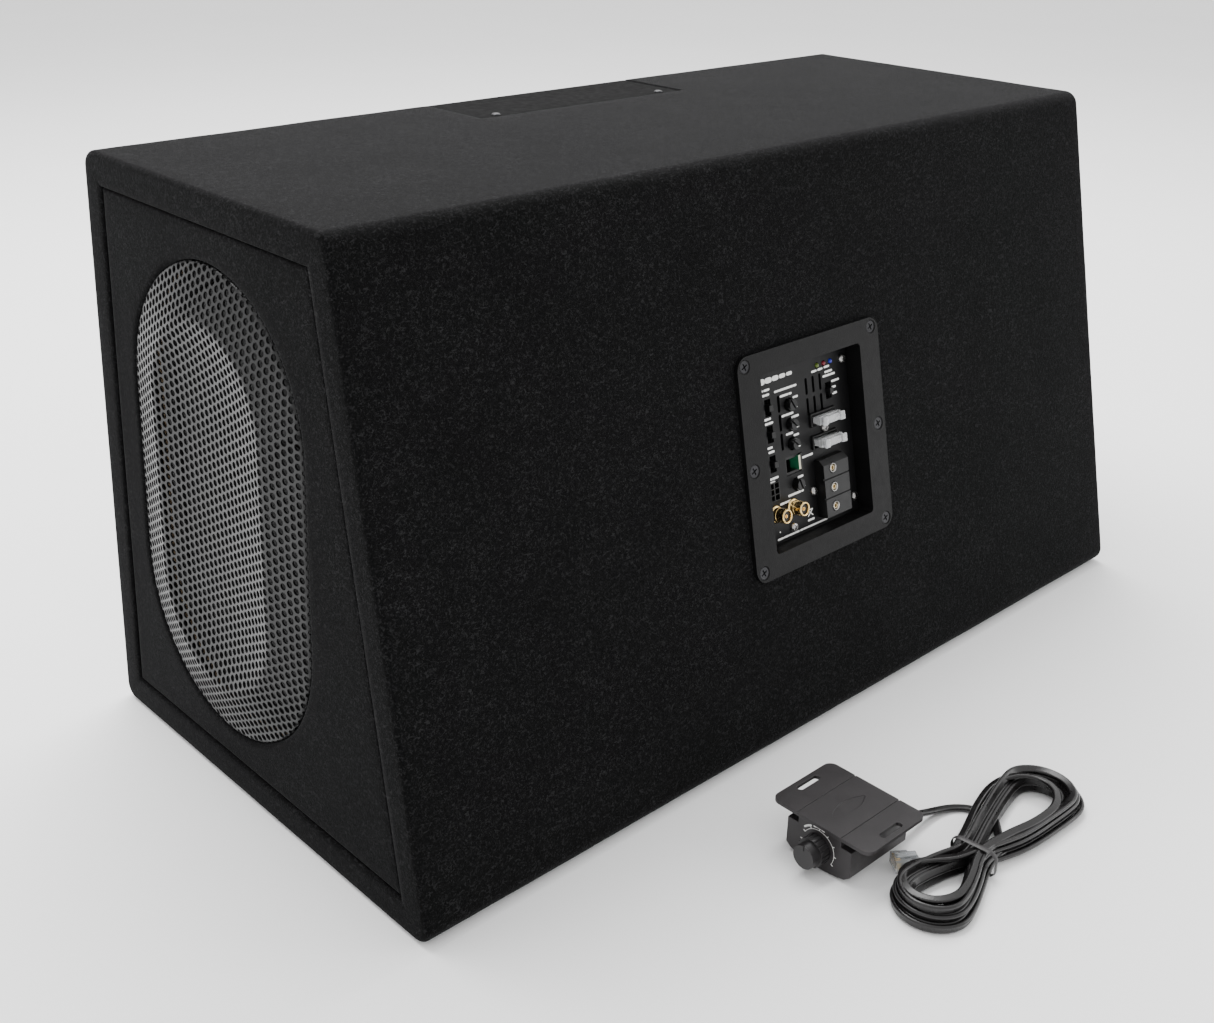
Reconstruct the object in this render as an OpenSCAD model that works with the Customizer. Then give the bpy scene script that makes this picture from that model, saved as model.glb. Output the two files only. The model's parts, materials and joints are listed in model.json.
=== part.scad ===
// Powered car subwoofer: a carpeted wedge box with an oval driver behind a mesh grille
// in each end, an amplifier panel sunk into the sloped front, and a wired bass remote.
// Millimetres, +Z up, origin at the centre of the base, +X along the box, +Y to the back.

/* [Cabinet] */
// Length of the box along X
cabinet_length = 595; // [560:5:640]
// Height of the box
cabinet_height = 320; // [310:5:340]
// Depth at the base
base_depth = 285; // [275:5:300]
// Depth at the top
top_depth = 218.5; // [210:0.5:230]
// Thickness of the fibreboard panels
board = 15; // [12:1:18]
// Thickness of the carpet
carpet = 2.5; // [2:0.5:3]
// Rounding of the long carpeted edges
edge_round = 9; // [7:1:12]
// How far each end panel sits inside the wrapped edge
end_inset = 1; // [0:0.5:3]

/* [Top pocket] */
// Length of the smooth pocket plate in the rear edge of the top
pocket_length = 166; // [120:2:200]
// Depth of the pocket plate from the back face
pocket_depth = 57; // [40:1:70]
// How far the pocket is sunk
pocket_sink = 2; // [1:0.5:2]
// X of the pocket's middle
pocket_x = 3; // [-20:1:20]

/* [Grilles and drivers] */
// Half of the grille opening's width
opening_radius = 78; // [74:1:80]
// Half of the grille opening's height
opening_half_height = 126; // [120:1:130]
// Y of the grille's middle
driver_y = 26; // [20:1:30]
// Height of the grille's middle
driver_z = 159; // [155:1:162]

/* [Amplifier panel] */
// Width of the bezel
bezel_width = 121; // [115:1:130]
// Height of the bezel
bezel_height = 125; // [118:1:135]
// Width of the sunk panel
panel_width = 86; // [84:1:88]
// Height of the sunk panel
panel_height = 100; // [98:1:102]
// Depth of the panel's face below the carpet
panel_sink = 8.2; // [7:0.1:10]
// X of the panel's middle
panel_x = 0; // [-10:0.5:10]
// Distance of the panel's middle up the slope
panel_up = 160.5; // [150:0.5:170]
// Length of the free part of a phono jack's shell
phono_length = 7.8; // [7:0.2:9]

/* [Remote] */
// Width of the remote's housing
remote_width = 39; // [36:1:44]
// Depth of the remote's housing
remote_depth = 46; // [42:1:50]
// Width of its bracket plate
bracket_width = 60; // [56:1:66]
// X of the remote's front face
remote_x = -117; // [-130:1:-100]
// Y of the remote's middle
remote_y = -218.5; // [-230:0.5:-210]
// Width of the flat cord
cord_width = 4.5; // [4:0.5:6]
// Thickness of the flat cord
cord_thick = 2.5; // [2:0.5:3]

/* [Hidden] */
$fn = 64;
eps = 0.01;
fit = 0.08;

// Cabinet section, in (Y, Z)
half_length = cabinet_length / 2;
half_depth = base_depth / 2;
lean_run = base_depth - top_depth;
slope_angle = atan(lean_run / cabinet_height);
wall = board + carpet;
round_steps = 6;

// Each rounded corner: its sharp point inset by d, and the angles its arc runs between
function front_y(z, d) = -half_depth + z * tan(slope_angle) + d / cos(slope_angle);
function corner_arc(c, r, a0, a1) =
    [for (i = [0 : round_steps])
        let (a = a0 + (a1 - a0) * i / round_steps)
            [c[0] + r * cos(a), c[1] + r * sin(a)]];
function section(inset, r) = let (d = inset + r) concat(
    corner_arc([front_y(d, d), d], r, 180 - slope_angle, 270),
    corner_arc([half_depth - d, d], r, 270, 360),
    corner_arc([half_depth - d, cabinet_height - d], r, 0, 90),
    corner_arc([front_y(cabinet_height - d, d), cabinet_height - d], r, 90, 180 - slope_angle));

// A (Y, Z) outline drawn out along X, centred
module along_x(length) {
    rotate([90, 0, 90]) linear_extrude(length, center = true) children();
}

// Frame of the sloped front: X along the box, Y up the slope, Z outward, zero on the carpet
module panel_frame() {
    translate([panel_x, -half_depth, 0])
        rotate([-slope_angle, 0, 0])
            translate([0, 0, panel_up])
                rotate([90, 0, 0])
                    children();
}

// Frame of the left end: X to the front, Y up, Z outward, zero at the end of the box
module left_frame() {
    translate([-half_length, driver_y, driver_z]) rotate([90, 0, -90]) children();
}

// The same for the right end, as a mirror image
module right_frame() {
    mirror([1, 0, 0]) left_frame() children();
}

module round_rect(width, height, r) {
    square([width - 2 * r, height], center = true);
    square([width, height - 2 * r], center = true);
    for (x = [-1, 1], y = [-1, 1])
        translate([x * (width / 2 - r), y * (height / 2 - r)]) circle(r);
}

module round_box(width, height, r, z0, z1) {
    translate([0, 0, z0]) linear_extrude(z1 - z0) round_rect(width, height, r);
}

// Racetrack outline of half-width r and half-height h
module racetrack(r, h) {
    square([2 * r, 2 * (h - r)], center = true);
    for (y = [-1, 1]) translate([0, y * (h - r)]) circle(r);
}

module racetrack_slab(r, h, z0, z1) {
    translate([0, 0, z0]) linear_extrude(z1 - z0) racetrack(r, h);
}

module rod(r, z0, z1) {
    translate([0, 0, z0]) cylinder(r = r, h = z1 - z0);
}

// ---- boards -------------------------------------------------------------
board_length = cabinet_length - 2 * carpet;
board_radius = edge_round - carpet;
low_z = wall;
high_z = cabinet_height - wall;
back_y = half_depth - wall;

module board_section(region) {
    color("tan") along_x(board_length) intersection() {
        polygon(section(carpet, board_radius));
        polygon(region);
    }
}

module bottom_board() {
    board_section([[-half_depth, 0], [half_depth, 0], [half_depth, low_z], [-half_depth, low_z]]);
}

module top_board() {
    difference() {
        board_section([[-half_depth, high_z], [half_depth, high_z],
                       [half_depth, cabinet_height], [-half_depth, cabinet_height]]);
        pocket_screw_holes();
    }
}

module back_board() {
    board_section([[back_y, low_z], [half_depth, low_z], [half_depth, high_z], [back_y, high_z]]);
}

// The front board holds the cut-out for the amplifier and its six screw holes
tub_wall = 2.5;
tub_width = panel_width + 2 * tub_wall;
tub_height = panel_height + 2 * tub_wall;
cutout_gap = 1;

module front_board() {
    difference() {
        board_section([[-half_depth, low_z], [front_y(low_z, wall), low_z],
                       [front_y(high_z, wall), high_z], [-half_depth, high_z]]);
        panel_frame() {
            round_box(tub_width + 2 * cutout_gap, tub_height + 2 * cutout_gap, 4, -60, 10);
            bezel_screw_holes();
        }
    }
}

module bezel_places() {
    for (x = [-1, 1], y = [-57, 0, 57]) translate([x * 54.3, y * bezel_height / 125]) children();
}

bezel_screw_r = 1.9;
bezel_screw_length = 16;

module bezel_screw_holes() {
    bezel_places() rod(bezel_screw_r + 0.1, -bezel_screw_length, 1);
}

module end_board() {
    color("tan") difference() {
        translate([-half_length + end_inset + carpet + board / 2, 0, 0])
            along_x(board) polygon(section(wall, 0));
        left_frame() racetrack_slab(opening_radius, opening_half_height, -40, 10);
        left_frame() driver_screw_places() rod(driver_screw_r + 0.1, -30, -8.5);
    }
}

module left_end_board() {
    end_board();
}

module right_end_board() {
    mirror([1, 0, 0]) end_board();
}

// ---- carpet -------------------------------------------------------------
// A separate flat sheet under the base, between the two rounded edges
module base_sheet(extra) {
    y0 = front_y(edge_round, edge_round);
    y1 = half_depth - edge_round;
    along_x(cabinet_length + 2 * extra)
        polygon([[y0, -extra], [y1, -extra], [y1, carpet], [y0, carpet]]);
}

module base_carpet() {
    color([0.13, 0.13, 0.13]) base_sheet(0);
}

// The wrap covers the back, top and front, and folds over the boards' ends
module carpet_wrap() {
    color([0.13, 0.13, 0.13]) difference() {
        along_x(cabinet_length) polygon(section(0, edge_round));
        along_x(board_length) polygon(section(carpet, board_radius));
        along_x(cabinet_length + 2) polygon(section(wall, 0));
        base_sheet(1);
        panel_frame() {
            round_box(tub_width + 2 * cutout_gap, tub_height + 2 * cutout_gap, 4, -60, 10);
            bezel_screw_holes();
        }
        translate([pocket_x - pocket_length / 2, half_depth - pocket_depth, cabinet_height - pocket_sink])
            cube([pocket_length, pocket_depth + 1, 10]);
        pocket_screw_holes();
    }
}

seam = 0.5;

module end_carpet() {
    difference() {
        translate([-half_length + end_inset + carpet / 2, 0, 0])
            along_x(carpet) polygon(section(wall + seam, 0));
        left_frame() racetrack_slab(opening_radius, opening_half_height, -40, 10);
    }
}

module end_carpets() {
    color([0.13, 0.13, 0.13]) {
        end_carpet();
        mirror([1, 0, 0]) end_carpet();
    }
}

// ---- pocket in the top --------------------------------------------------
pocket_screw_gap = 68;
pocket_plate_thick = 1.2;

module pocket_screw_places() {
    for (x = [-1, 1])
        translate([pocket_x + x * pocket_screw_gap, half_depth - pocket_depth + 5, 0]) children();
}

module pocket_screw_holes() {
    pocket_screw_places() rod(1.6, cabinet_height - wall - 1, cabinet_height + 1);
}

module pocket_plate() {
    low = cabinet_height - pocket_sink;
    color([0.2, 0.2, 0.2]) difference() {
        translate([pocket_x - pocket_length / 2 + 0.5, half_depth - pocket_depth + 0.5, low])
            cube([pocket_length - 1, pocket_depth - edge_round + 3, pocket_plate_thick]);
        pocket_screw_holes();
    }
}

module pocket_screws() {
    head = cabinet_height - pocket_sink + pocket_plate_thick;
    color("silver") pocket_screw_places() {
        rod(1.5, cabinet_height - 14, head);
        translate([0, 0, head]) cylinder(r1 = 3, r2 = 2.2, h = 1.1);
    }
}

// ---- grilles ------------------------------------------------------------
// Pressed sheet: a skirt in the opening, a band that slopes up to a ridge, and a shallow dish inside it
grille_radius = opening_radius - 1;
grille_half_height = opening_half_height - 1;
grille_thick = 1.2;
grille_edge = -1.5;
grille_skirt = -10;
band = 28;
ridge_high = 4.8;
dish_deep = 5;
dish_steps = 8;
ridge_r = grille_radius - band;
function dish_z(r) = ridge_high - dish_deep * (1 - pow(r / ridge_r, 2));
function dish_line(drop) = [
    for (i = [1 : dish_steps])
        let (r = ridge_r * i / dish_steps)
            [r, dish_z(r) - drop]];
function backwards(p) = [for (i = [len(p) - 1 : -1 : 0]) p[i]];
grille_section = concat(
    dish_line(0),
    [[grille_radius, grille_edge], [grille_radius, grille_skirt],
     [grille_radius - grille_thick, grille_skirt],
     [grille_radius - grille_thick, grille_edge - grille_thick]],
    backwards(dish_line(grille_thick)));
grille_straight = grille_half_height - grille_radius;
oval_steps = 32;
ring_size = 2 * (oval_steps + 1);
// One ring of the grille: two half circles joined by straight sides
function grille_ring(r, z) = [
    for (end = [0, 1])
        for (i = [0 : oval_steps])
            let (a = 180 * (end + i / oval_steps))
                [r * cos(a), r * sin(a) + (1 - 2 * end) * grille_straight, z]];

// The section carried round the oval, closed by a flat face at the middle of each side
module grille() {
    points = [for (p = grille_section) each grille_ring(p[0], p[1])];
    last = len(grille_section) - 1;
    walls = [
        for (k = [0 : last - 1])
            for (i = [0 : ring_size - 1])
                let (j = (i + 1) % ring_size)
                    [k * ring_size + i, k * ring_size + j, (k + 1) * ring_size + j,
                     (k + 1) * ring_size + i]];
    caps = [
        [for (i = [ring_size - 1 : -1 : 0]) i],
        [for (i = [0 : ring_size - 1]) last * ring_size + i]];
    color([0.3, 0.3, 0.3])
        polyhedron(points, concat(walls, caps), convexity = 10);
}

module left_grille() {
    left_frame() grille();
}

module right_grille() {
    right_frame() grille();
}

// ---- drivers ------------------------------------------------------------
// Depths are measured inward from the end of the box
flange_front = -(end_inset + carpet + board);
flange_thick = 2.5;
flange_lip = 10;
basket_floor = -66;
basket_floor_r = 60;
basket_sheet = 1.6;
ledge = 6;
cone_rim = flange_front + 1;
cone_radius = 63.3;
cone_half_height = cone_radius + opening_half_height - opening_radius;
screw_line = opening_radius + flange_lip / 2;
end_screw_x = 42;
end_screw_rise = sqrt(pow(screw_line, 2) - pow(end_screw_x, 2));
neck_z = -48;
coil_r = 19.6;
driver_screw_r = 1.8;

module driver_screw_places() {
    straight = opening_half_height - opening_radius;
    for (x = [-1, 1], y = [-1, 1]) {
        translate([x * screw_line, y * straight * 0.8]) children();
        translate([x * end_screw_x, y * (straight + end_screw_rise)]) children();
    }
}

module basket_form(grow) {
    hull() {
        racetrack_slab(opening_radius - ledge + grow, opening_half_height - ledge + grow,
                       flange_front - flange_thick - 0.1, flange_front - flange_thick, $fn = 32);
        translate([0, 0, basket_floor]) cylinder(r = basket_floor_r + grow, h = 4, $fn = 32);
    }
}

module basket() {
    difference() {
        union() {
            racetrack_slab(opening_radius + flange_lip, opening_half_height + flange_lip,
                           flange_front - flange_thick, flange_front);
            basket_form(basket_sheet);
            rod(basket_floor_r + basket_sheet, basket_floor - 2, basket_floor);
        }
        difference() {
            basket_form(0);
            rod(basket_floor_r + 1, basket_floor - 1, basket_floor + 7);
        }
        rod(55, basket_floor, basket_floor + 8);
        rod(57.5, basket_floor + 6, basket_floor + 8);
        rod(27, basket_floor - 4, basket_floor + 1);
        racetrack_slab(opening_radius - ledge, opening_half_height - ledge,
                       flange_front - flange_thick - 0.5, 10);
        for (a = [35, 145, 215, 325]) rotate([0, 0, a]) translate([35, -16, basket_floor + 13])
            cube([120, 32, 20]);
        driver_screw_places() rod(driver_screw_r + 0.1, -40, 0);
    }
}

module baskets() {
    color([0.25, 0.25, 0.26]) {
        left_frame() basket();
        right_frame() basket();
    }
}

// Rubber half-roll from the flange's ledge to just outside the cone's rim
roll_r = 5.6;
roll_thick = 1.2;
roll_lip = 1.9;
roll_middle = cone_radius + 0.7 + roll_r;
straight_half = opening_half_height - opening_radius;

module roll_section() {
    intersection() {
        difference() {
            circle(roll_r, $fn = 24);
            circle(roll_r - roll_thick, $fn = 24);
        }
        translate([-10, 0]) square([20, 10]);
    }
    translate([roll_r - roll_thick, 0]) square([roll_lip + roll_thick, 1]);
}

module surround() {
    translate([0, 0, flange_front]) for (s = [1, -1]) {
        translate([0, s * straight_half, 0]) rotate([0, 0, s > 0 ? 0 : 180])
            rotate_extrude(angle = 180, $fn = 96) translate([roll_middle, 0]) roll_section();
        translate([s * roll_middle, 0, 0]) mirror([s > 0 ? 0 : 1, 0, 0])
            rotate([90, 0, 0]) linear_extrude(2 * straight_half, center = true) roll_section();
    }
}

module surrounds() {
    color([0.1, 0.1, 0.1]) {
        left_frame() surround();
        right_frame() surround();
    }
}

spider_z = basket_floor + 6.2;

module spider() {
    translate([0, 0, spider_z]) difference() {
        union() {
            cylinder(r = 57, h = 0.8);
            for (r = [28 : 8 : 52]) rotate_extrude() translate([r, 0.8]) circle(0.9, $fn = 16);
        }
        translate([0, 0, -2]) cylinder(r = coil_r + 0.6, h = 6);
    }
}

module spiders() {
    color("goldenrod") {
        left_frame() spider();
        right_frame() spider();
    }
}

module cone_form(shrink, drop) {
    hull() {
        racetrack_slab(cone_radius - shrink, cone_half_height - shrink,
                       cone_rim - 0.1 + drop, cone_rim + drop, $fn = 48);
        translate([0, 0, neck_z + drop]) cylinder(r = coil_r + 1.6 - shrink, h = 0.1, $fn = 48);
    }
}

module cone() {
    color([0.14, 0.14, 0.15]) difference() {
        cone_form(0, 0);
        cone_form(1.2, 0.6);
        rod(coil_r + 0.1, neck_z - 1, neck_z + 1);
    }
}

module left_cone() {
    left_frame() cone();
}

module right_cone() {
    right_frame() cone();
}

cap_r = 22.4;
cap_rise = 8;
cap_sphere = (pow(cap_r, 2) + pow(cap_rise, 2)) / (2 * cap_rise);

module dust_cap() {
    color([0.12, 0.12, 0.12]) translate([0, 0, neck_z + 2.6]) rotate_extrude() intersection() {
        translate([0, cap_rise - cap_sphere]) difference() {
            circle(cap_sphere, $fn = 160);
            circle(cap_sphere - 0.8, $fn = 160);
        }
        square([cap_r, cap_rise + 1]);
    }
}

module left_dust_cap() {
    left_frame() dust_cap();
}

module right_dust_cap() {
    right_frame() dust_cap();
}

coil_wall = 0.7;
coil_length = 31;

module voice_coil() {
    color("peru") difference() {
        rod(coil_r, neck_z + 2 - coil_length, neck_z + 2);
        rod(coil_r - coil_wall, neck_z - coil_length - 2, neck_z + 5);
    }
}

module left_voice_coil() {
    left_frame() voice_coil();
}

module right_voice_coil() {
    right_frame() voice_coil();
}

plate_top = basket_floor - 2;
plate_thick = 6;
magnet_thick = 18;
yoke_thick = 6;
magnet_r = 50;

module motor_plate() {
    difference() {
        rod(52, plate_top - plate_thick, plate_top);
        rod(coil_r + 0.7, plate_top - 10, plate_top + 1);
    }
}

module motor_plates() {
    color("silver") {
        left_frame() motor_plate();
        right_frame() motor_plate();
    }
}

module magnet() {
    top = plate_top - plate_thick;
    difference() {
        rod(magnet_r, top - magnet_thick, top);
        rod(28, top - magnet_thick - 1, top + 1);
    }
}

module magnets() {
    color([0.2, 0.2, 0.21]) {
        left_frame() magnet();
        right_frame() magnet();
    }
}

module motor_yoke() {
    top = plate_top - plate_thick - magnet_thick;
    difference() {
        union() {
            rod(magnet_r - 2, top - yoke_thick, top);
            rod(coil_r - coil_wall - 0.7, top - eps, plate_top);
        }
        rod(5, top - yoke_thick - 1, plate_top + 1);
    }
}

module motor_yokes() {
    color("silver") {
        left_frame() motor_yoke();
        right_frame() motor_yoke();
    }
}

module driver_screw() {
    rod(driver_screw_r, flange_front - flange_thick, -9);
    translate([0, 0, flange_front - flange_thick - 2]) cylinder(r = 3.4, h = 2);
}

module driver_screws() {
    color([0.15, 0.15, 0.15]) {
        left_frame() driver_screw_places() driver_screw();
        right_frame() driver_screw_places() driver_screw();
    }
}

// ---- swept tubes --------------------------------------------------------
// A flat or round tube through route points, its wide side level
function smooth_route(p, n) = [
    for (i = [0 : len(p) - 2], k = [0 : n - 1])
        let (a = p[max(i - 1, 0)], b = p[i], c = p[i + 1], d = p[min(i + 2, len(p) - 1)], t = k / n)
            0.5 * ((2 * b) + (c - a) * t + (2 * a - 5 * b + 4 * c - d) * t * t
                   + (3 * b - a - 3 * c + d) * t * t * t),
    p[len(p) - 1]
];
function unit(v) = v / norm(v);
function heading(p, i) = unit(p[min(i + 1, len(p) - 1)] - p[max(i - 1, 0)]);

module swept_tube(points, half_width, half_thick, sides) {
    n = len(points);
    rings = [for (i = [0 : n - 1])
        let (t = heading(points, i), side = unit(cross([0, 0, 1], t)), up = cross(t, side))
            for (k = [0 : sides - 1])
                let (a = 360 * k / sides)
                    points[i] + side * half_width * cos(a) + up * half_thick * sin(a)];
    walls = [for (i = [0 : n - 2], k = [0 : sides - 1])
        let (a = i * sides + k, b = i * sides + (k + 1) % sides)
            each [[a, b, a + sides], [b, b + sides, a + sides]]];
    caps = [[for (k = [sides - 1 : -1 : 0]) k], [for (k = [0 : sides - 1]) (n - 1) * sides + k]];
    polyhedron(rings, concat(walls, caps), convexity = 10);
}

// Twin lead from the amplifier's case to the left driver; the right one mirrors it
wire_route = [[-20, -45, 128], [-34, -38, 122], [-60, -46, 100], [-120, -58, 70], [-190, -66, 66],
              [-240, -66, 84], [-260, -58, 112], [-262, -50, 136]];

module speaker_wires() {
    color([0.5, 0.08, 0.06]) {
        swept_tube(smooth_route(wire_route, 5), 2.4, 1.4, 8);
        mirror([1, 0, 0]) swept_tube(smooth_route(wire_route, 5), 2.4, 1.4, 8);
    }
}

// ---- amplifier panel ----------------------------------------------------
// Heights here are along the panel's outward normal, zero on the carpet
bezel_proud = 2.5;
plate_face = -panel_sink;
sheet = 1.5;
plate_back = plate_face - sheet;
tub_end = -14;
case_end = -66;
board_face = -26;
board_back = board_face - 1.6;

// Countersinks in the bezel; the screw heads lie a little below its face
sink_r = 4.1;
sink_deep = 2;
bezel_head_r = 3.4;

module amp_bezel() {
    color([0.2, 0.2, 0.2]) panel_frame() difference() {
        union() {
            round_box(bezel_width, bezel_height, 8, 0, bezel_proud);
            round_box(tub_width, tub_height, 4, tub_end, eps);
        }
        round_box(panel_width, panel_height, 2.5, tub_end - 1, bezel_proud + 1);
        bezel_places() {
            rod(bezel_screw_r + 0.2, -1, bezel_proud + 1);
            translate([0, 0, bezel_proud - sink_deep])
                cylinder(r1 = bezel_screw_r + 0.2, r2 = sink_r, h = sink_deep + eps);
        }
    }
}

module bezel_screws() {
    color([0.12, 0.12, 0.12]) panel_frame() bezel_places() {
        difference() {
            union() {
                rod(bezel_screw_r, -bezel_screw_length + 1, bezel_proud - 1.9);
                translate([0, 0, bezel_proud - 1.9])
                    cylinder(r1 = bezel_screw_r, r2 = bezel_head_r, h = 1.4);
            }
            for (a = [0, 90]) rotate([0, 0, a + 25]) translate([-2.2, -0.4, bezel_proud - 1.4])
                cube([4.4, 0.8, 4]);
        }
    }
}

// Places on the panel, from its middle
switch_places = [[-27.5, 27.6], [-27.5, 12.6], [-27.5, -4.2], [25, 25.5]];
trimmer_places = [[-10, 25.5], [-10, 14.3], [-10, 3.2], [-9.3, -20.4]];
plate_screw_places = [[38.5, 41.3], [18.1, 5.5], [4, -28.1], [-15.5, -43.6], [39.4, -41]];
light_places = [[16.7, 41.8], [22.6, 41.8], [28.5, 41.8]];
rca_places = [[-29.5, -32.4], [-14.5, -32.4]];
fuse_places = [[17, 12], [17, -1]];
vent_places = concat(
    [for (x = [6, 12.1, 18.2], y = [32, 20.5]) [x, y]],
    [for (y = [27.6, 16.8, 6]) [-18.4, y]]);
socket_place = [-10, -8.8];
input_place = [-29.3, -19.6];
block_place = [18, -27.8];
block_width = 22;
block_height = 33.5;
block_proud = 6.5;
block_bevel = 3;

module amp_plate() {
    color([0.07, 0.07, 0.07]) panel_frame() difference() {
        round_box(panel_width - 0.4, panel_height - 0.4, 2.3, plate_back, plate_face);
        translate([0, 0, plate_back - 1]) linear_extrude(sheet + 2) {
            for (p = switch_places) translate(p) square([5, 9.6], center = true);
            for (p = trimmer_places) translate(p) circle(4);
            for (p = plate_screw_places) translate(p) circle(1.7);
            for (p = light_places) translate(p) circle(1.7);
            for (p = rca_places) translate(p) circle(5.2);
            for (p = fuse_places) translate(p) square([22.4, 8.4], center = true);
            for (p = vent_places) translate(p) round_rect(2, 9.6, 0.9);
            translate(socket_place) square([14.4, 10.4], center = true);
            translate(input_place) square([9.4, 11], center = true);
            translate(block_place) square([block_width + 0.4, block_height + 0.4], center = true);
        }
    }
}

module plate_screws() {
    color("silver") panel_frame() for (p = plate_screw_places) translate(p) difference() {
        union() {
            rod(1.5, board_face, plate_face);
            translate([0, 0, plate_face]) cylinder(r1 = 2.4, r2 = 1.9, h = 1.7);
            difference() {
                rod(2.2, board_face, plate_back);
                rod(1.5, board_face - 1, plate_back + 1);
            }
        }
        for (a = [20, 110]) rotate([0, 0, a]) translate([-1.6, -0.3, plate_face + 0.7])
            cube([3.2, 0.6, 4]);
    }
}

module amp_case() {
    gap = 1.5;
    color([0.6, 0.6, 0.62]) panel_frame() difference() {
        round_box(tub_width, tub_height, 4, case_end, tub_end);
        round_box(tub_width - 2 * gap, tub_height - 2 * gap, 3, case_end + gap, tub_end + 1);
    }
}

module circuit_board() {
    color([0.05, 0.3, 0.15]) panel_frame()
        round_box(panel_width, panel_height, 2, board_back, board_face);
}

module heat_sink() {
    base = case_end + 1.5;
    color("gainsboro") panel_frame() {
        translate([-42, -46, base]) cube([50, 92, 4]);
        for (i = [0 : 7]) translate([-41 + i * 6.6, -46, base + 4 - eps]) cube([2, 92, 22]);
    }
}

module capacitors() {
    color([0.1, 0.12, 0.3]) panel_frame() for (y = [-33, -11, 11, 33]) translate([26, y, 0])
        rod(9, board_back - 28, board_back);
}

// Three-way power block, its face bevelled along the top, grooves between the ways
way_pitch = 11.2;
clamp_r = 2.9;
wire_way_r = 1.9;

module terminal_block() {
    top = plate_face + block_proud;
    color([0.1, 0.1, 0.1]) panel_frame() translate([block_place[0], block_place[1], 0]) difference() {
        translate([-block_width / 2, -block_height / 2, board_face])
            cube([block_width, block_height, top - board_face]);
        translate([-block_width, block_height / 2 - block_bevel, top]) rotate([-45, 0, 0])
            cube([2 * block_width, 3 * block_bevel, block_bevel]);
        for (y = [-1, 1]) translate([-block_width, y * way_pitch / 2 - 0.4, top - 0.8])
            cube([2 * block_width, 0.8, 2]);
        for (y = [-1, 0, 1]) translate([-3, y * way_pitch, 0]) {
            rod(clamp_r + 0.2, top - 5.5, top + 1);
            translate([3, 0, top - 3.2]) rotate([0, 90, 0]) cylinder(r = wire_way_r, h = 20, $fn = 24);
        }
    }
}

module terminal_screws() {
    top = plate_face + block_proud;
    color("khaki") panel_frame() translate([block_place[0], block_place[1], 0])
        for (y = [-1, 0, 1]) translate([-3, y * way_pitch, 0]) difference() {
            rod(clamp_r, top - 5.5, top - 0.8);
            rod(1.3, top - 2.6, top);
        }
}

module fuse_holders() {
    color([0.06, 0.06, 0.06]) panel_frame() for (p = fuse_places) translate([p[0], p[1], 0]) difference() {
        translate([-11, -4, board_face]) cube([22, 8, plate_face + 1.6 - board_face]);
        translate([-9.8, -2.9, plate_face - 6]) cube([19.6, 5.8, 12]);
    }
}

// Blade fuses: a clear body with two blades below it
module fuses() {
    low = plate_face - 2;
    high = plate_face + 9.6;
    color([0.85, 0.87, 0.9]) panel_frame() for (p = fuse_places) translate([p[0], p[1], 0]) {
        translate([-9.5, -1.9, low]) cube([19, 3.8, 5]);
        translate([-9.5, -2.5, low + 5]) cube([19, 5, high - low - 5]);
        for (x = [-1, 1]) translate([x * 6.2 - 2.2, -0.4, plate_face - 6]) cube([4.4, 0.8, 4]);
    }
}

// Phono jacks: a gold shell round a black insulator
rca_r = 4.15;
rca_flange = 1.2;
rca_top = plate_face + rca_flange + phono_length;
rca_floor = plate_face + 2.5;

module rca_jacks() {
    color("gold") panel_frame() for (p = rca_places) translate([p[0], p[1], 0]) difference() {
        union() {
            rod(rca_r, plate_face + rca_flange, rca_top);
            rod(5, plate_back, plate_face + rca_flange);
            rod(4.6, board_face, plate_back);
        }
        rod(3.3, rca_floor, rca_top + 1);
    }
    color("black") panel_frame() for (p = rca_places) translate([p[0], p[1], 0]) difference() {
        rod(3.3, rca_floor, rca_top - 0.6);
        rod(1.6, rca_floor + 1, rca_top + 1);
    }
}

module speaker_input_socket() {
    color([0.06, 0.06, 0.06]) panel_frame() translate([input_place[0], input_place[1], 0]) difference() {
        translate([-4.5, -5.3, board_face]) cube([9, 10.6, plate_face + 1 - board_face]);
        for (x = [-1, 1], y = [-1, 0, 1]) translate([x * 2.1 - 1.6, y * 3.4 - 1.4, plate_face - 6])
            cube([3.2, 2.8, 20]);
    }
}

// Modular socket, open to the front, with the edge of its small board beside it
module remote_socket() {
    color([0.08, 0.08, 0.08]) panel_frame() translate([socket_place[0], socket_place[1], 0]) {
        difference() {
            translate([-7, -5, board_face]) cube([11.4, 10, plate_face - 0.4 - board_face]);
            translate([-6.2, -3.6, plate_face - 11]) cube([9.8, 7.4, 20]);
        }
        translate([5, -5, board_face]) cube([1.6, 10, plate_face + 0.6 - board_face]);
    }
}

module indicator_lights() {
    color([0.6, 0.8, 0.3]) panel_frame() for (p = light_places) translate([p[0], p[1], 0]) {
        rod(1.5, plate_back - 4, plate_face + 0.2);
        translate([0, 0, plate_face + 0.2]) difference() {
            sphere(1.5);
            translate([-3, -3, -6]) cube(6);
        }
    }
}

// Cases of the four slide switches and the four trimmers, open to the panel
module control_housings() {
    color([0.15, 0.15, 0.16]) panel_frame() {
        for (p = switch_places) translate([p[0], p[1], 0]) difference() {
            translate([-3.4, -6, board_face]) cube([6.8, 12, plate_back - 0.2 - board_face]);
            translate([-2.4, -4.7, plate_back - 3]) cube([4.8, 9.4, 10]);
        }
        for (p = trimmer_places) translate([p[0], p[1], 0]) difference() {
            translate([-4.9, -4.9, board_face]) cube([9.8, 9.8, plate_back - 0.2 - board_face]);
            rod(3.1 + fit, plate_back - 6, plate_back + 2);
        }
    }
}

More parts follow.
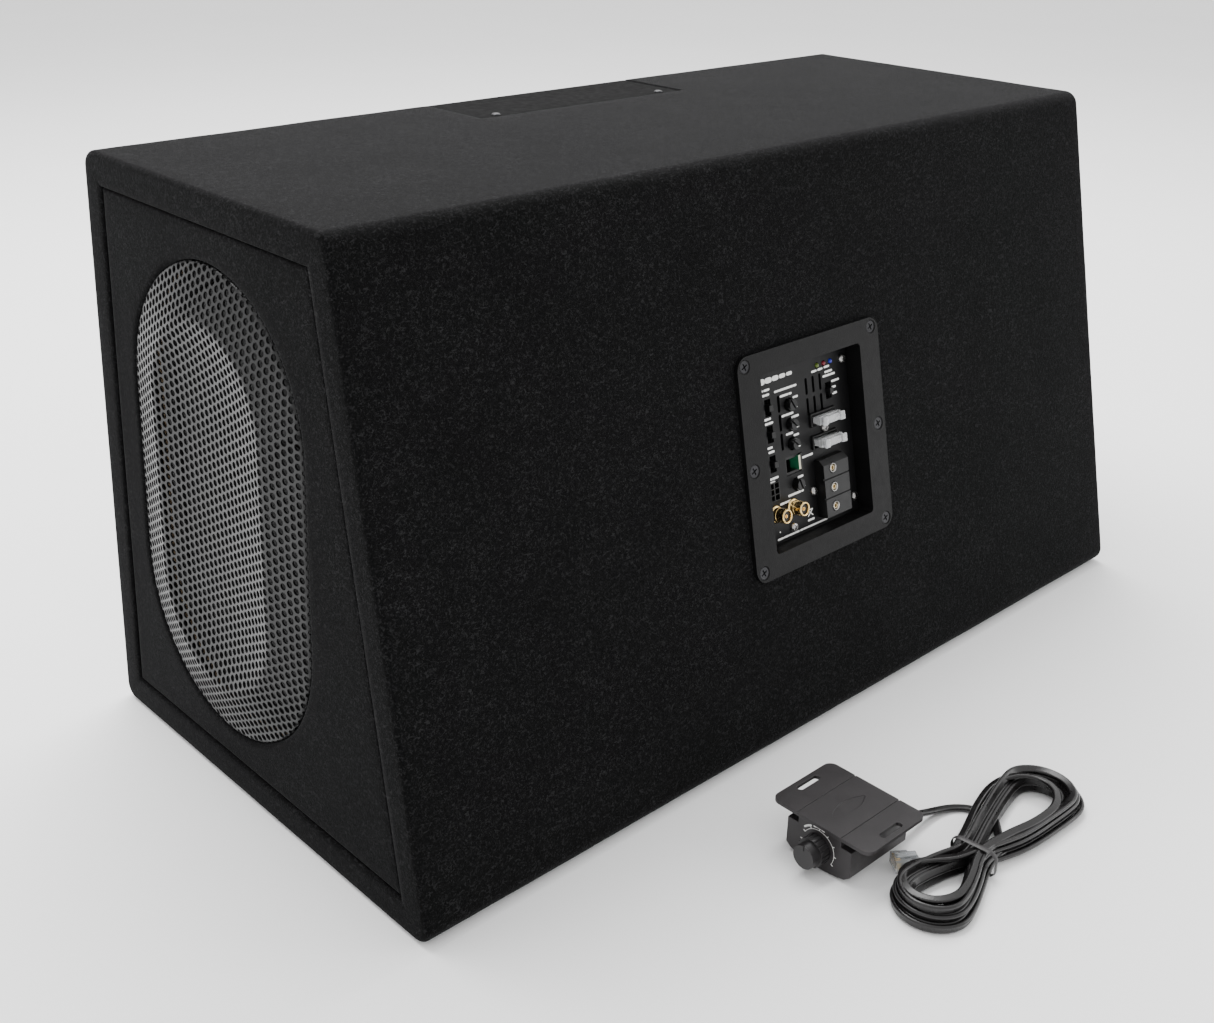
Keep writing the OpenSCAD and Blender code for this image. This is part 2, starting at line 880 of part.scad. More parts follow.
module slider(index) {
    p = switch_places[index];
    color([0.09, 0.09, 0.09]) panel_frame() translate([p[0], p[1], 0]) {
        translate([-2, -2.6, plate_back - 2.8]) cube([4, 5.2, 1.5]);
        translate([-1.5, -1.7, plate_back - 1.4]) cube([3, 3.4, sheet + 4]);
    }
}

module phase_slider() {
    slider(0);
}

module input_slider() {
    slider(1);
}

module filter_slider() {
    slider(2);
}

module turn_on_slider() {
    slider(3);
}

module rotor(index, turn) {
    p = trimmer_places[index];
    color([0.11, 0.11, 0.11]) panel_frame() translate([p[0], p[1], 0]) rotate([0, 0, turn]) difference() {
        rod(3.1, plate_back - 5.8, plate_face + 3.6);
        translate([-4, -0.5, plate_face + 2.4]) cube([8, 1, 4]);
    }
}

module low_pass_rotor() {
    rotor(0, -60);
}

module subsonic_rotor() {
    rotor(1, -45);
}

module level_rotor() {
    rotor(2, -40);
}

module bass_boost_rotor() {
    rotor(3, -70);
}

// ---- bass remote --------------------------------------------------------
// Section of the housing in (Y, Z): a bowed belly, shoulders and a raised neck
corner_z = 4.5;
shoulder_z = 19;
neck_top = 23;
neck_half = 13;
belly_half = 16.5;
belly_corner = 2.2;
belly_steps = 8;
knob_z = 11.4;
remote_wall = 1.8;
half_remote = remote_width / 2;

function belly(y) = belly_corner * pow(y / belly_half, 2);
function remote_section(d) = concat(
    [for (i = [0 : belly_steps])
        let (y = (belly_half - d) * (2 * i / belly_steps - 1))
            [y, belly(y) + d]],
    [[half_remote - d, corner_z + d * 0.4], [half_remote - d, shoulder_z - d],
     [neck_half - d, shoulder_z - d], [neck_half - d, neck_top - d],
     [-neck_half + d, neck_top - d], [-neck_half + d, shoulder_z - d],
     [-half_remote + d, shoulder_z - d], [-half_remote + d, corner_z + d * 0.4]]);

module remote_block(x0, x1, d) {
    translate([(x0 + x1) / 2, remote_y, 0]) along_x(x1 - x0) polygon(remote_section(d));
}

// The cord leaves the back of the housing near its front side
cord_exit = [remote_x + remote_depth, -232, 10];

module remote_housing() {
    color([0.22, 0.21, 0.22]) difference() {
        remote_block(remote_x, remote_x + remote_depth, 0);
        remote_block(remote_x + remote_wall, remote_x + remote_depth - remote_wall, remote_wall);
        translate([remote_x - 1, remote_y, knob_z]) rotate([0, 90, 0]) cylinder(r = shaft_r + fit, h = 6);
        translate(cord_exit) cube([8, cord_width + 3.2, cord_thick + 3.2], center = true);
    }
}

bracket_length = 47;
bracket_thick = 2;

module bracket_outline() {
    difference() {
        round_rect(bracket_length, bracket_width, 5);
        for (y = [-1, 1]) translate([0, y * (bracket_width / 2 - 4.7)]) round_rect(16, 3.6, 1.75);
    }
}

// Its top has two grooves across it and a shallow pointed oval between them
groove_y = 13.5;
groove_width = 0.8;
oval_r = 24;
oval_shift = 20;

module remote_bracket() {
    color([0.24, 0.23, 0.24]) translate([remote_x + bracket_length / 2 - 1, remote_y, neck_top])
        difference() {
            linear_extrude(bracket_thick) bracket_outline();
            for (y = [-1, 1])
                translate([-bracket_length, y * groove_y - groove_width / 2, bracket_thick - 0.6])
                    cube([2 * bracket_length, groove_width, 2]);
            translate([0, 0, bracket_thick - 0.5]) linear_extrude(2) intersection() {
                translate([0, oval_shift]) circle(oval_r);
                translate([0, -oval_shift]) circle(oval_r);
            }
        }
}

shaft_r = 3;
knob_base_r = 7.6;
knob_cap_r = 6.2;
knob_ribs = 18;

module remote_knob() {
    color([0.2, 0.2, 0.2]) translate([remote_x, remote_y, knob_z]) rotate([0, -90, 0]) {
        difference() {
            rod(knob_base_r, 0.4, 6.5);
            for (i = [0 : knob_ribs - 1]) rotate([0, 0, i * 360 / knob_ribs])
                translate([knob_base_r + 0.2, 0, -1]) cylinder(r = 0.6, h = 10, $fn = 16);
        }
        difference() {
            rod(knob_cap_r, 6.5 - eps, 11.5);
            translate([knob_cap_r - 2.4, -0.35, 11]) cube([4, 0.7, 2]);
        }
        rod(shaft_r, -6, 0.4 + eps);
    }
}

// ---- cord ---------------------------------------------------------------
cord_route = [[-67, -232, 10], [-60, -231.5, 9.3], [-52, -231.5, 7], [-44, -232, 4.5], [-36, -233, 2.6],
              [-28, -235.5, 1.5], [-22, -240, 1.3], [-18, -247, 1.3]];
tail_route = [[-78, -251, 2.6], [-74, -254, 2.6], [-70, -258, 3], [-66, -262, 3.5]];

// Two free stretches: from the housing to the hank, and from the hank to the plug
module remote_cord() {
    color([0.1, 0.1, 0.1]) {
        swept_tube(smooth_route(cord_route, 3), cord_width / 2, cord_thick / 2, 8);
        swept_tube(smooth_route(tail_route, 2), cord_width / 2, cord_thick / 2, 8);
    }
}

// The tied hank lies as one closed form: two lobes and a waist
hank_middle = [-42, -268];
hank_turn = 5;
hank_half = 77;
lobe_half = 21.5;
waist_half = 11;
waist_x = -18;
waist_reach = 34;
hank_high = 13;
hank_steps = 24;

function hank_half_width(x) =
    let (away = (x - waist_x) / waist_reach, rise = 1 - exp(-away * away))
        (waist_half + (lobe_half - waist_half) * rise) * sqrt(max(0, 1 - pow(abs(x) / hank_half, 6)));

module hank_outline() {
    upper = [for (i = [0 : hank_steps])
        let (x = -hank_half * cos(180 * i / hank_steps))
            [x, hank_half_width(x)]];
    lower = [for (i = [hank_steps - 1 : -1 : 1]) [upper[i][0], -upper[i][1]]];
    polygon(concat(upper, lower));
}

module hank_frame() {
    translate([hank_middle[0], hank_middle[1], 0]) rotate([0, 0, hank_turn]) children();
}

module cord_hank() {
    color([0.1, 0.1, 0.1]) hank_frame() linear_extrude(hank_high) hank_outline();
}

// The clear modular plug, its latch on top
plug_place = [-83.5, -247];
plug_turn = -35;
plug_length = 13;
plug_width = 9.7;
plug_high = 6.6;
latch_width = 3.2;

module cord_plug() {
    color([0.8, 0.85, 0.9]) translate([plug_place[0], plug_place[1], 0]) rotate([0, 0, plug_turn]) {
        translate([-plug_length / 2, -plug_width / 2, 0]) cube([plug_length, plug_width, plug_high]);
        translate([-plug_length / 2 + 1, -latch_width / 2, plug_high - eps])
            cube([plug_length - 2, latch_width, 1.4]);
    }
}

// The twist tie round the hank's waist
tie_width = 3;
tie_gap = 0.4;
tie_thick = 1.5;

module cord_tie() {
    inner = waist_half + tie_gap;
    outer = inner + tie_thick;
    color([0.16, 0.16, 0.16]) hank_frame() translate([waist_x - tie_width / 2, 0, 0]) difference() {
        translate([0, -outer, 0]) cube([tie_width, 2 * outer, hank_high + tie_thick]);
        translate([-1, -inner, -1]) cube([tie_width + 2, 2 * inner, hank_high + 1 + eps]);
    }
}

// The moulded gland that holds the cord in the housing's rear wall
gland_rim = 1.5;

module cord_gland() {
    wide = cord_width + 2 * gland_rim;
    high = cord_thick + 2 * gland_rim;
    color([0.12, 0.12, 0.12]) translate(cord_exit) translate([-2, -wide / 2, -high / 2])
        cube([6, wide, high]);
}

bottom_board();
top_board();
back_board();
front_board();
left_end_board();
right_end_board();
carpet_wrap();
base_carpet();
end_carpets();
pocket_plate();
pocket_screws();
left_grille();
right_grille();
baskets();
surrounds();
spiders();
left_cone();
right_cone();
left_dust_cap();
right_dust_cap();
left_voice_coil();
right_voice_coil();
magnets();
motor_plates();
motor_yokes();
driver_screws();
speaker_wires();
amp_bezel();
bezel_screws();
amp_plate();
plate_screws();
amp_case();
circuit_board();
heat_sink();
capacitors();
terminal_block();
terminal_screws();
fuse_holders();
fuses();
rca_jacks();
speaker_input_socket();
remote_socket();
indicator_lights();
control_housings();
phase_slider();
input_slider();
filter_slider();
turn_on_slider();
low_pass_rotor();
subsonic_rotor();
level_rotor();
bass_boost_rotor();
remote_housing();
remote_bracket();
remote_knob();
remote_cord();
cord_hank();
cord_plug();
cord_tie();
cord_gland();
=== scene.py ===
import json
import math
import random

import bmesh
import bpy
from mathutils import Matrix, Vector, noise

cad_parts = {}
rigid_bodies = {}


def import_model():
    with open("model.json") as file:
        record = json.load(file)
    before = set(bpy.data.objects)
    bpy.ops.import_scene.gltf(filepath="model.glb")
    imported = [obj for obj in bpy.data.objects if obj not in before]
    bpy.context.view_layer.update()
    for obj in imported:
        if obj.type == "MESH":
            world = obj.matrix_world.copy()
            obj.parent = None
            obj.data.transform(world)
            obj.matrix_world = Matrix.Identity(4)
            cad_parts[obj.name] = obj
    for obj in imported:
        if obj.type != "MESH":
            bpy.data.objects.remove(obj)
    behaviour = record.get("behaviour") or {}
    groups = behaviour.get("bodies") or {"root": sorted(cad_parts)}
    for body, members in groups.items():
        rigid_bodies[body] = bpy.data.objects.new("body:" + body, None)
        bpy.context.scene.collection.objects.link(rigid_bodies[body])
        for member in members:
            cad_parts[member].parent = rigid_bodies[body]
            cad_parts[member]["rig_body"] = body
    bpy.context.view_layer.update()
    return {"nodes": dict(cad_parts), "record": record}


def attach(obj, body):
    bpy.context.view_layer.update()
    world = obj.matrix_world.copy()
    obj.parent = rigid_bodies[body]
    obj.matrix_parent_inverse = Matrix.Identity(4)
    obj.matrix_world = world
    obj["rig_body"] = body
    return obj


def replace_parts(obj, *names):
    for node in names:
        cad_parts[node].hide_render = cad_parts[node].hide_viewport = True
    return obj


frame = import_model()
MM = 0.001


# ---- camera -----------------------------------------------------------------
def make_camera():
    """The photograph's place, direction and roll, with a small shift for its framing."""
    azimuth, elevation, roll = (math.radians(a) for a in (-42.768, 19.24, 1.24))
    back = Vector((math.sin(azimuth) * math.cos(elevation),
                   -math.cos(azimuth) * math.cos(elevation), math.sin(elevation)))
    right = (-back).cross(Vector((0, 0, 1))).normalized()
    up = back.cross(right)
    rolled_right = math.cos(roll) * right + math.sin(roll) * up
    rolled_up = -math.sin(roll) * right + math.cos(roll) * up
    data = bpy.data.cameras.new("camera")
    data.sensor_width = 36.0
    data.lens = 45.0
    data.shift_x = 0.0387
    data.shift_y = -0.133
    camera = bpy.data.objects.new("camera", data)
    camera.matrix_world = Matrix((
        (rolled_right.x, rolled_up.x, back.x, -0.6349),
        (rolled_right.y, rolled_up.y, back.y, -0.5851),
        (rolled_right.z, rolled_up.z, back.z, 0.4826),
        (0, 0, 0, 1)))
    bpy.context.scene.collection.objects.link(camera)
    bpy.context.scene.camera = camera


make_camera()


# ---- materials --------------------------------------------------------------
class Nodes:
    """A material's node tree, with short ways to add and join nodes."""

    def __init__(self, name):
        self.material = bpy.data.materials.new(name)
        self.material.use_nodes = True
        self.tree = self.material.node_tree
        self.shader = self.tree.nodes["Principled BSDF"]
        self.place = self.add("ShaderNodeTexCoord").outputs["Object"]

    def add(self, kind, **inputs):
        node = self.tree.nodes.new(kind)
        for key, value in inputs.items():
            self.put(node.inputs[key.replace("_", " ")], value)
        return node

    def put(self, socket, value):
        if isinstance(value, bpy.types.NodeSocket):
            self.tree.links.new(value, socket)
        else:
            socket.default_value = value

    def noise(self, scale, detail=3.0, roughness=0.55, stretch=None, distortion=0.0):
        place = self.place
        if stretch:
            place = self.add("ShaderNodeMapping", Vector=self.place, Scale=stretch).outputs["Vector"]
        return self.add("ShaderNodeTexNoise", Vector=place, Scale=scale, Detail=detail,
                        Roughness=roughness, Distortion=distortion).outputs["Fac"]

    def spread(self, value, low, high, start=0.3, end=0.7):
        node = self.add("ShaderNodeMapRange", Value=value)
        for key, number in (("From Min", start), ("From Max", end), ("To Min", low), ("To Max", high)):
            node.inputs[key].default_value = number
        return node.outputs["Result"]

    def mix(self, factor, a, b):
        node = self.tree.nodes.new("ShaderNodeMix")
        node.data_type = "RGBA"
        self.put(node.inputs["Factor"], factor)
        for socket, value in ((node.inputs[6], a), (node.inputs[7], b)):
            self.put(socket, value if isinstance(value, bpy.types.NodeSocket) else (*value, 1.0))
        return node.outputs[2]

    def maths(self, operation, a, b):
        node = self.tree.nodes.new("ShaderNodeMath")
        node.operation = operation
        self.put(node.inputs[0], a)
        self.put(node.inputs[1], b)
        return node.outputs[0]

    def bump(self, height, distance, strength=1.0, below=None):
        node = self.add("ShaderNodeBump", Height=height, Distance=distance, Strength=strength)
        if below is not None:
            self.tree.links.new(below, node.inputs["Normal"])
        return node.outputs["Normal"]

    def finish(self, color=None, roughness=None, normal=None, **sockets):
        for key, value in (("Base Color", color), ("Roughness", roughness), ("Normal", normal)):
            if value is not None:
                self.put(self.shader.inputs[key], value)
        for key, value in sockets.items():
            self.put(self.shader.inputs[key.replace("_", " ")], value)
        return self.material


def scaled(color, factor):
    return tuple(min(1.0, c * factor) for c in color)


def moulded(name, color, roughness, grain, depth, specular=0.5, change=0.18):
    """Moulded plastic or rubber: a fine texture, and slightly uneven colour and gloss."""
    n = Nodes(name)
    cloud = n.noise(60.0, 4.0)
    shade = n.mix(n.spread(cloud, 0.0, 1.0), scaled(color, 1 - change), scaled(color, 1 + change))
    rough = n.spread(n.noise(220.0, 3.0), roughness - 0.06, roughness + 0.06)
    return n.finish(shade, rough, n.bump(n.noise(grain, 2.0), depth), Specular_IOR_Level=specular)


def metal(name, color, roughness, brushed=None):
    """Plated or plain metal with faint scratches and a slightly cloudy surface."""
    n = Nodes(name)
    cloud, change = n.noise(150.0, 4.0), 0.12
    shade = n.mix(n.spread(cloud, 0.0, 1.0), scaled(color, 1 - change), scaled(color, 1 + change))
    rough = n.spread(n.noise(900.0, 3.0, stretch=brushed), roughness - 0.08, roughness + 0.1)
    scratch = n.noise(2600.0, 2.0, stretch=brushed or (1, 0.15, 1))
    return n.finish(shade, rough, n.bump(scratch, 0.00002, 0.5), Metallic=1.0)


def felt(name, dark, light):
    """Needle-punched carpet: matted short fibres, fine light flecks and soft darker patches."""
    n = Nodes(name)
    tufts = n.noise(760.0, 4.0, 0.75, distortion=1.2)
    fibre_a = n.noise(900.0, 2.0, 0.6, stretch=(1, 0.45, 0.7), distortion=1.2)
    fibre_b = n.noise(900.0, 2.0, 0.6, stretch=(0.45, 1, 0.7), distortion=1.2)
    fibres = n.maths("MAXIMUM", fibre_a, fibre_b)
    patches = n.noise(21.0, 4.0, 0.6)
    base = n.mix(n.spread(tufts, 0.0, 1.0, 0.34, 0.7), dark, light)
    lifted = n.mix(n.spread(fibres, 0.0, 0.85, 0.56, 0.7), base, scaled(light, 3.3))
    shade = n.mix(n.spread(patches, 0.0, 0.35, 0.3, 0.75), lifted, scaled(dark, 0.8))
    low = n.bump(tufts, 0.0004, 0.5)
    top = n.bump(fibres, 0.0003, 0.6, below=low)
    return n.finish(shade, 0.95, top, Sheen_Weight=0.055, Sheen_Roughness=0.35,
                    Sheen_Tint=(0.8, 0.8, 0.82, 1.0), Specular_IOR_Level=0.04)


def clear_plastic(name, color, roughness=0.12):
    n = Nodes(name)
    shade = n.mix(n.spread(n.noise(300.0, 3.0), 0.0, 1.0), scaled(color, 0.93), color)
    rough = n.spread(n.noise(700.0, 2.0), roughness, roughness + 0.1)
    return n.finish(shade, rough, n.bump(n.noise(500.0, 2.0), 0.00005, 0.4),
                    Transmission_Weight=0.72, IOR=1.49)


def wood(name):
    """Raw fibreboard, faced smooth, with a speckled cut edge."""
    n = Nodes(name)
    shade = n.mix(n.spread(n.noise(900.0, 5.0, 0.7), 0.0, 1.0), (0.23, 0.15, 0.085), (0.42, 0.3, 0.18))
    return n.finish(shade, 0.8, n.bump(n.noise(700.0, 4.0), 0.0002))


def lamp_lens(name, color, glow):
    n = Nodes(name)
    shade = n.mix(n.spread(n.noise(900.0), 0.0, 1.0), scaled(color, 0.85), color)
    return n.finish(shade, 0.2, n.bump(n.noise(800.0), 0.00003), Transmission_Weight=0.25,
                    Emission_Color=(*color, 1.0), Emission_Strength=glow)


CARPET = felt("needle_felt", (0.0016, 0.0016, 0.0017), (0.0062, 0.0062, 0.0064))
BEZEL = moulded("bezel_plastic", (0.0032, 0.0032, 0.0033), 0.44, 1500.0, 0.00012, 0.11)
POCKET = moulded("pocket_sheet", (0.002, 0.002, 0.0021), 0.8, 900.0, 0.00008, 0.045)
PANEL = moulded("panel_paint", (0.0035, 0.0035, 0.0038), 0.45, 1500.0, 0.00003, 0.16)
INK = moulded("white_ink", (0.78, 0.78, 0.76), 0.6, 2500.0, 0.00002, change=0.08)
BLACK = moulded("black_moulding", (0.004, 0.004, 0.0042), 0.38, 1500.0, 0.00004, 0.25)
BLOCK = moulded("terminal_moulding", (0.004, 0.004, 0.0042), 0.34, 1600.0, 0.00001, 0.25)
REMOTE = moulded("remote_plastic", (0.0185, 0.0163, 0.0173), 0.42, 2600.0, 0.00006, 0.35)
KNOB = moulded("knob_plastic", (0.012, 0.011, 0.0117), 0.38, 2400.0, 0.00004, 0.4)
JACKET = moulded("cord_jacket", (0.0062, 0.0055, 0.0058), 0.3, 700.0, 0.00005, 0.45)
TIE = moulded("tie_plastic", (0.022, 0.02, 0.021), 0.45, 1200.0, 0.00008, 0.4)
RUBBER = moulded("surround_rubber", (0.006, 0.006, 0.0063), 0.5, 1300.0, 0.00008)
SPIDER = moulded("spider_cloth", (0.5, 0.34, 0.1), 0.85, 1100.0, 0.0003)
CONE = moulded("cone_paper", (0.012, 0.012, 0.0125), 0.5, 900.0, 0.00012, change=0.3)
FERRITE = moulded("ferrite", (0.05, 0.05, 0.055), 0.6, 800.0, 0.0001)
LEADS = moulded("lead_insulation", (0.25, 0.012, 0.01), 0.4, 900.0, 0.00004)
LAMINATE = moulded("circuit_laminate", (0.01, 0.11, 0.05), 0.35, 1500.0, 0.00004)
BOARD_EDGE = moulded("board_edge", (0.5, 0.48, 0.36), 0.5, 1500.0, 0.00004)
SLEEVE = moulded("capacitor_sleeve", (0.02, 0.025, 0.09), 0.3, 900.0, 0.00003)
PAINTED = moulded("grille_paint", (0.0085, 0.0085, 0.0088), 0.34, 1600.0, 0.00004, 0.27)
BASKET = moulded("basket_paint", (0.02, 0.02, 0.021), 0.4, 1100.0, 0.00006)
BRIGHT = metal("bright_screw", (0.4, 0.39, 0.38), 0.26)
BLACK_STEEL = metal("black_screw", (0.032, 0.032, 0.034), 0.3)
GOLD = metal("gold_plate", (0.83, 0.6, 0.26), 0.2)
NICKEL = metal("nickel_screw", (0.62, 0.52, 0.33), 0.27)
PLATED = metal("plated_steel", (0.55, 0.55, 0.56), 0.35)
ALUMINIUM = metal("heat_sink_aluminium", (0.7, 0.7, 0.71), 0.4, (1, 0.1, 1))
COPPER = metal("coil_wire", (0.7, 0.34, 0.17), 0.3, (0.1, 1, 1))
CLEAR = clear_plastic("clear_plastic", (0.9, 0.93, 0.95))
FUSE_CLEAR = clear_plastic("fuse_body", (0.93, 0.94, 0.95), 0.16)
BOARD = wood("fibreboard")


# ---- mesh helpers -----------------------------------------------------------
def new_piece(name, points, faces, material, body, sharp=35.0):
    """A mesh object in metres that rides on a CAD body."""
    mesh = bpy.data.meshes.new(name)
    mesh.from_pydata([tuple(p) for p in points], [], faces)
    mesh.materials.append(material)
    return placed(name, mesh, body, sharp)


def placed(name, mesh, body, sharp):
    mesh.validate()
    mesh.update()
    mesh.shade_smooth()
    mesh.set_sharp_from_angle(angle=math.radians(sharp))
    piece = bpy.data.objects.new(name, mesh)
    bpy.context.scene.collection.objects.link(piece)
    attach(piece, body)
    return piece


def from_bmesh(bm, name, materials, body):
    """A piece from a bmesh, of one material or a list of them."""
    bmesh.ops.recalc_face_normals(bm, faces=bm.faces)
    mesh = bpy.data.meshes.new(name)
    bm.to_mesh(mesh)
    bm.free()
    for m in materials if isinstance(materials, list) else [materials]:
        mesh.materials.append(m)
    return placed(name, mesh, body, 35.0)


def bevel_sharp(bm, width, segments=2, over=28.0):
    """Rounds every edge that turns by more than an angle."""
    limit = math.radians(over)
    edges = [e for e in bm.edges if e.is_manifold and e.calc_face_angle(0.0) > limit]
    bmesh.ops.bevel(bm, geom=edges, offset=width, offset_type="OFFSET", segments=segments,
                    profile=0.5, affect="EDGES", clamp_overlap=True)


def refined(node, width, material, segments):
    """A CAD node's own shape with its flat faces joined up and its sharp edges rounded."""
    source = frame["nodes"][node]
    bm = bmesh.new()
    bm.from_mesh(source.data)
    bmesh.ops.remove_doubles(bm, verts=bm.verts, dist=1e-6)
    bmesh.ops.dissolve_limit(bm, angle_limit=math.radians(0.6), verts=bm.verts, edges=bm.edges)
    bevel_sharp(bm, width, segments)
    piece = from_bmesh(bm, node + "_finished", material, source["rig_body"])
    even = piece.modifiers.new("even_shading", "WEIGHTED_NORMAL")
    even.keep_sharp = True
    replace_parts(piece, node)


def dress(node, material):
    """A CAD node that keeps its mesh gets its material."""
    data = frame["nodes"][node].data
    data.materials.clear()
    data.materials.append(material)


def ring_faces(rings, count):
    """Quads between closed rings of points that all have the same count."""
    faces = []
    for start in range(0, (rings - 1) * count, count):
        for i in range(count):
            j = (i + 1) % count
            faces.append((start + i, start + j, start + count + j, start + count + i))
    return faces


def capped_rings(rings, count):
    """The quads between the rings, with the first and the last ring filled."""
    faces = ring_faces(rings, count)
    faces.append(tuple(range(count))[::-1])
    faces.append(tuple((rings - 1) * count + i for i in range(count)))
    return faces


def turned(outline, steps):
    """Points and faces of an outline of (radius, height) turned about Z."""
    points = []
    for radius, height in outline:
        for i in range(steps):
            a = 2 * math.pi * i / steps
            points.append(Vector((radius * math.cos(a), radius * math.sin(a), height)))
    return points, capped_rings(len(outline), steps)


def box_into(bm, low, high, matrix=None):
    """Adds a box to a bmesh."""
    low, high = Vector(low), Vector(high)
    for v in bmesh.ops.create_cube(bm, size=1.0)["verts"]:
        v.co = Vector((low[i] + (v.co[i] + 0.5) * (high[i] - low[i]) for i in range(3)))
        if matrix is not None:
            v.co = matrix @ v.co


# ---- frames taken from the record -------------------------------------------
mounts = {m["name"]: m for m in frame["record"]["mounts"]}
JACK_U, JACK_V, JACK_OUT = -29.5 * MM, -32.4 * MM, -3.0 * MM
NORMAL = Vector(mounts["phono_jack_left"]["axis"]).normalized()
UP_SLOPE = Vector((0, NORMAL.z, -NORMAL.y))
PANEL_ZERO = (Vector(mounts["phono_jack_left"]["pos_m"]) - Vector((JACK_U, 0, 0))
              - UP_SLOPE * JACK_V - NORMAL * JACK_OUT)
PANEL_FRAME = Matrix((
    (1, 0, 0, PANEL_ZERO.x),
    (0, UP_SLOPE.y, NORMAL.y, PANEL_ZERO.y),
    (0, UP_SLOPE.z, NORMAL.z, PANEL_ZERO.z),
    (0, 0, 0, 1)))


def on_panel(u, v, out):
    """A place on the panel, in millimetres along, up the slope and outward from the carpet."""
    return PANEL_FRAME @ Vector((u * MM, v * MM, out * MM))


def onto_panel(bm):
    """Moves a bmesh drawn in the panel's own millimetres to its place."""
    for vert in bm.verts:
        vert.co = on_panel(*vert.co)


# ---- cord -------------------------------------------------------------------
CORD_WIDTH, CORD_THICK = 4.5, 2.3
CORD_ROUTE = [(-67, -232, 10), (-60, -231.5, 9.3), (-52, -231.5, 7), (-44, -232, 4.5), (-36, -233, 2.6),
              (-28, -235.5, 1.5), (-22, -240, 1.3), (-18, -247, 1.3)]
TAIL_ROUTE = [(-70, -258, 3), (-74, -254, 2.6), (-78, -251, 2.6)]
HANK_MIDDLE, HANK_TURN = Vector((-42, -268, 0)), math.radians(5)
WAIST_X = -18.0
# The hank's loops, as steps in from the outermost loop, and the layer that each lies in
LOOPS = [(0, 0), (2, 0), (1, 0), (3, 0), (0.6, 1), (2.5, 1), (1.5, 1), (3.2, 1), (1.2, 2)]
OUTER_HALF, LOOP_STEP = 20.3, 2.55
RIGHT_TIP, LEFT_TIP, TIP_STEP = 75.5, -75.5, 2.9
WAIST_SLOT, WAIST_STEP = 8.6, 2.45
LAYER_LOW, LAYER_STEP = 2.55, 4.1
HANK_ROLL = math.radians(66)


def from_hank(x, y, z):
    c, s = math.cos(HANK_TURN), math.sin(HANK_TURN)
    return Vector((HANK_MIDDLE.x + x * c - y * s, HANK_MIDDLE.y + x * s + y * c, z))


def lobe(tip, half, slot, middle, height, first_side):
    """Places round one lobe, a teardrop with a round end, from beside the waist and back to it."""
    direction = math.copysign(1, tip - WAIST_X)
    centre = tip - direction * half
    run = centre - WAIST_X
    sides = [(0.4, slot + (half - slot) * 0.46), (0.76, slot + (half - slot) * 0.84)]
    places = [(WAIST_X + run * f, middle * f + y) for f, y in sides]
    for a in (8, 36, 63, 90, 117, 144, 172):
        x, y = math.sin(math.radians(a)), math.cos(math.radians(a))
        places.append((centre + direction * half * x, middle + half * y))
    places += [(WAIST_X + run * f, middle * f - y) for f, y in reversed(sides)]
    return [from_hank(x, y * first_side, height) for x, y in places]


def cord_places():
    """The whole cord: out of the remote, the loops of the hank, a loose loop, and back to the plug."""
    rng = random.Random(11)
    places = [Vector(p) for p in CORD_ROUTE]
    places += [from_hank(27, 13, 1.6), from_hank(18, 5.5, 2.2), from_hank(4, -3.5, 2.4)]
    for step, layer in LOOPS:
        half = OUTER_HALF - LOOP_STEP * step
        slot = WAIST_SLOT - WAIST_STEP * step
        z = LAYER_LOW + LAYER_STEP * layer
        waist_z = LAYER_LOW + 4.3 * layer
        drift = rng.uniform(-0.7, 0.7)
        places.append(from_hank(WAIST_X, -slot, waist_z))
        places += lobe(LEFT_TIP + TIP_STEP * step + rng.uniform(-1, 1), half - 1.5, slot, drift, z, -1)
        places.append(from_hank(WAIST_X, slot, waist_z))
        places += lobe(RIGHT_TIP - TIP_STEP * step + rng.uniform(-2.5, 1), half, slot, -drift, z, 1)
    loose = [(WAIST_X, -1.5, 12.0), (-30, 3.5, 11.6), (-40, 12, 11.2), (-50, 17, 11), (-60, 15.5, 11),
             (-67, 7, 11), (-65, -4, 11), (-54, -11, 11.2), (-38, -9.5, 11.6), (WAIST_X, -4, 12.4),
             (4, -7, 12), (24, -12, 11.6), (44, -13, 11.2), (57, -6, 11.2), (60, 5, 11.2), (53, 15, 11),
             (40, 20.3, 9), (24, 19.8, 5.4), (8, 16.4, 3.2), (-6, 13.4, 2.8), (WAIST_X, 11.2, 2.8)]
    places += [from_hank(*p) for p in loose]
    places += [Vector(p) for p in TAIL_ROUTE]
    return places


def smooth_line(places, step):
    """A Catmull-Rom line through the places, with points about a step apart."""
    line = []
    for i in range(len(places) - 1):
        a, b = places[max(i - 1, 0)], places[i]
        c, d = places[i + 1], places[min(i + 2, len(places) - 1)]
        count = max(2, round((c - b).length / step))
        for k in range(count):
            t = k / count
            line.append(0.5 * ((2 * b) + (c - a) * t + (2 * a - 5 * b + 4 * c - d) * t * t
                               + (3 * b - a - 3 * c + d) * t ** 3))
    line.append(places[-1])
    return line


def relaxed(line, rounds):
    """The line with its small kinks smoothed out, its two last points at each end kept."""
    for _ in range(rounds):
        old = [p.copy() for p in line]
        for i in range(2, len(line) - 2):
            line[i] = old[i] * 0.5 + (old[i - 1] + old[i + 1]) * 0.25
    return line


def swept(line, section, roll):
    """Points and faces of a section of (side, up) swept along a line, rolled by an angle at each point."""
    points = []
    for i, p in enumerate(line):
        ahead = (line[min(i + 1, len(line) - 1)] - line[max(i - 1, 0)]).normalized()
        side = Vector((0, 0, 1)).cross(ahead).normalized()
        up = ahead.cross(side)
        turn = roll(i)
        across = side * math.cos(turn) + up * math.sin(turn)
        over = -side * math.sin(turn) + up * math.cos(turn)
        points += [p + across * s + over * u for s, u in section]
    return points, capped_rings(len(line), len(section))


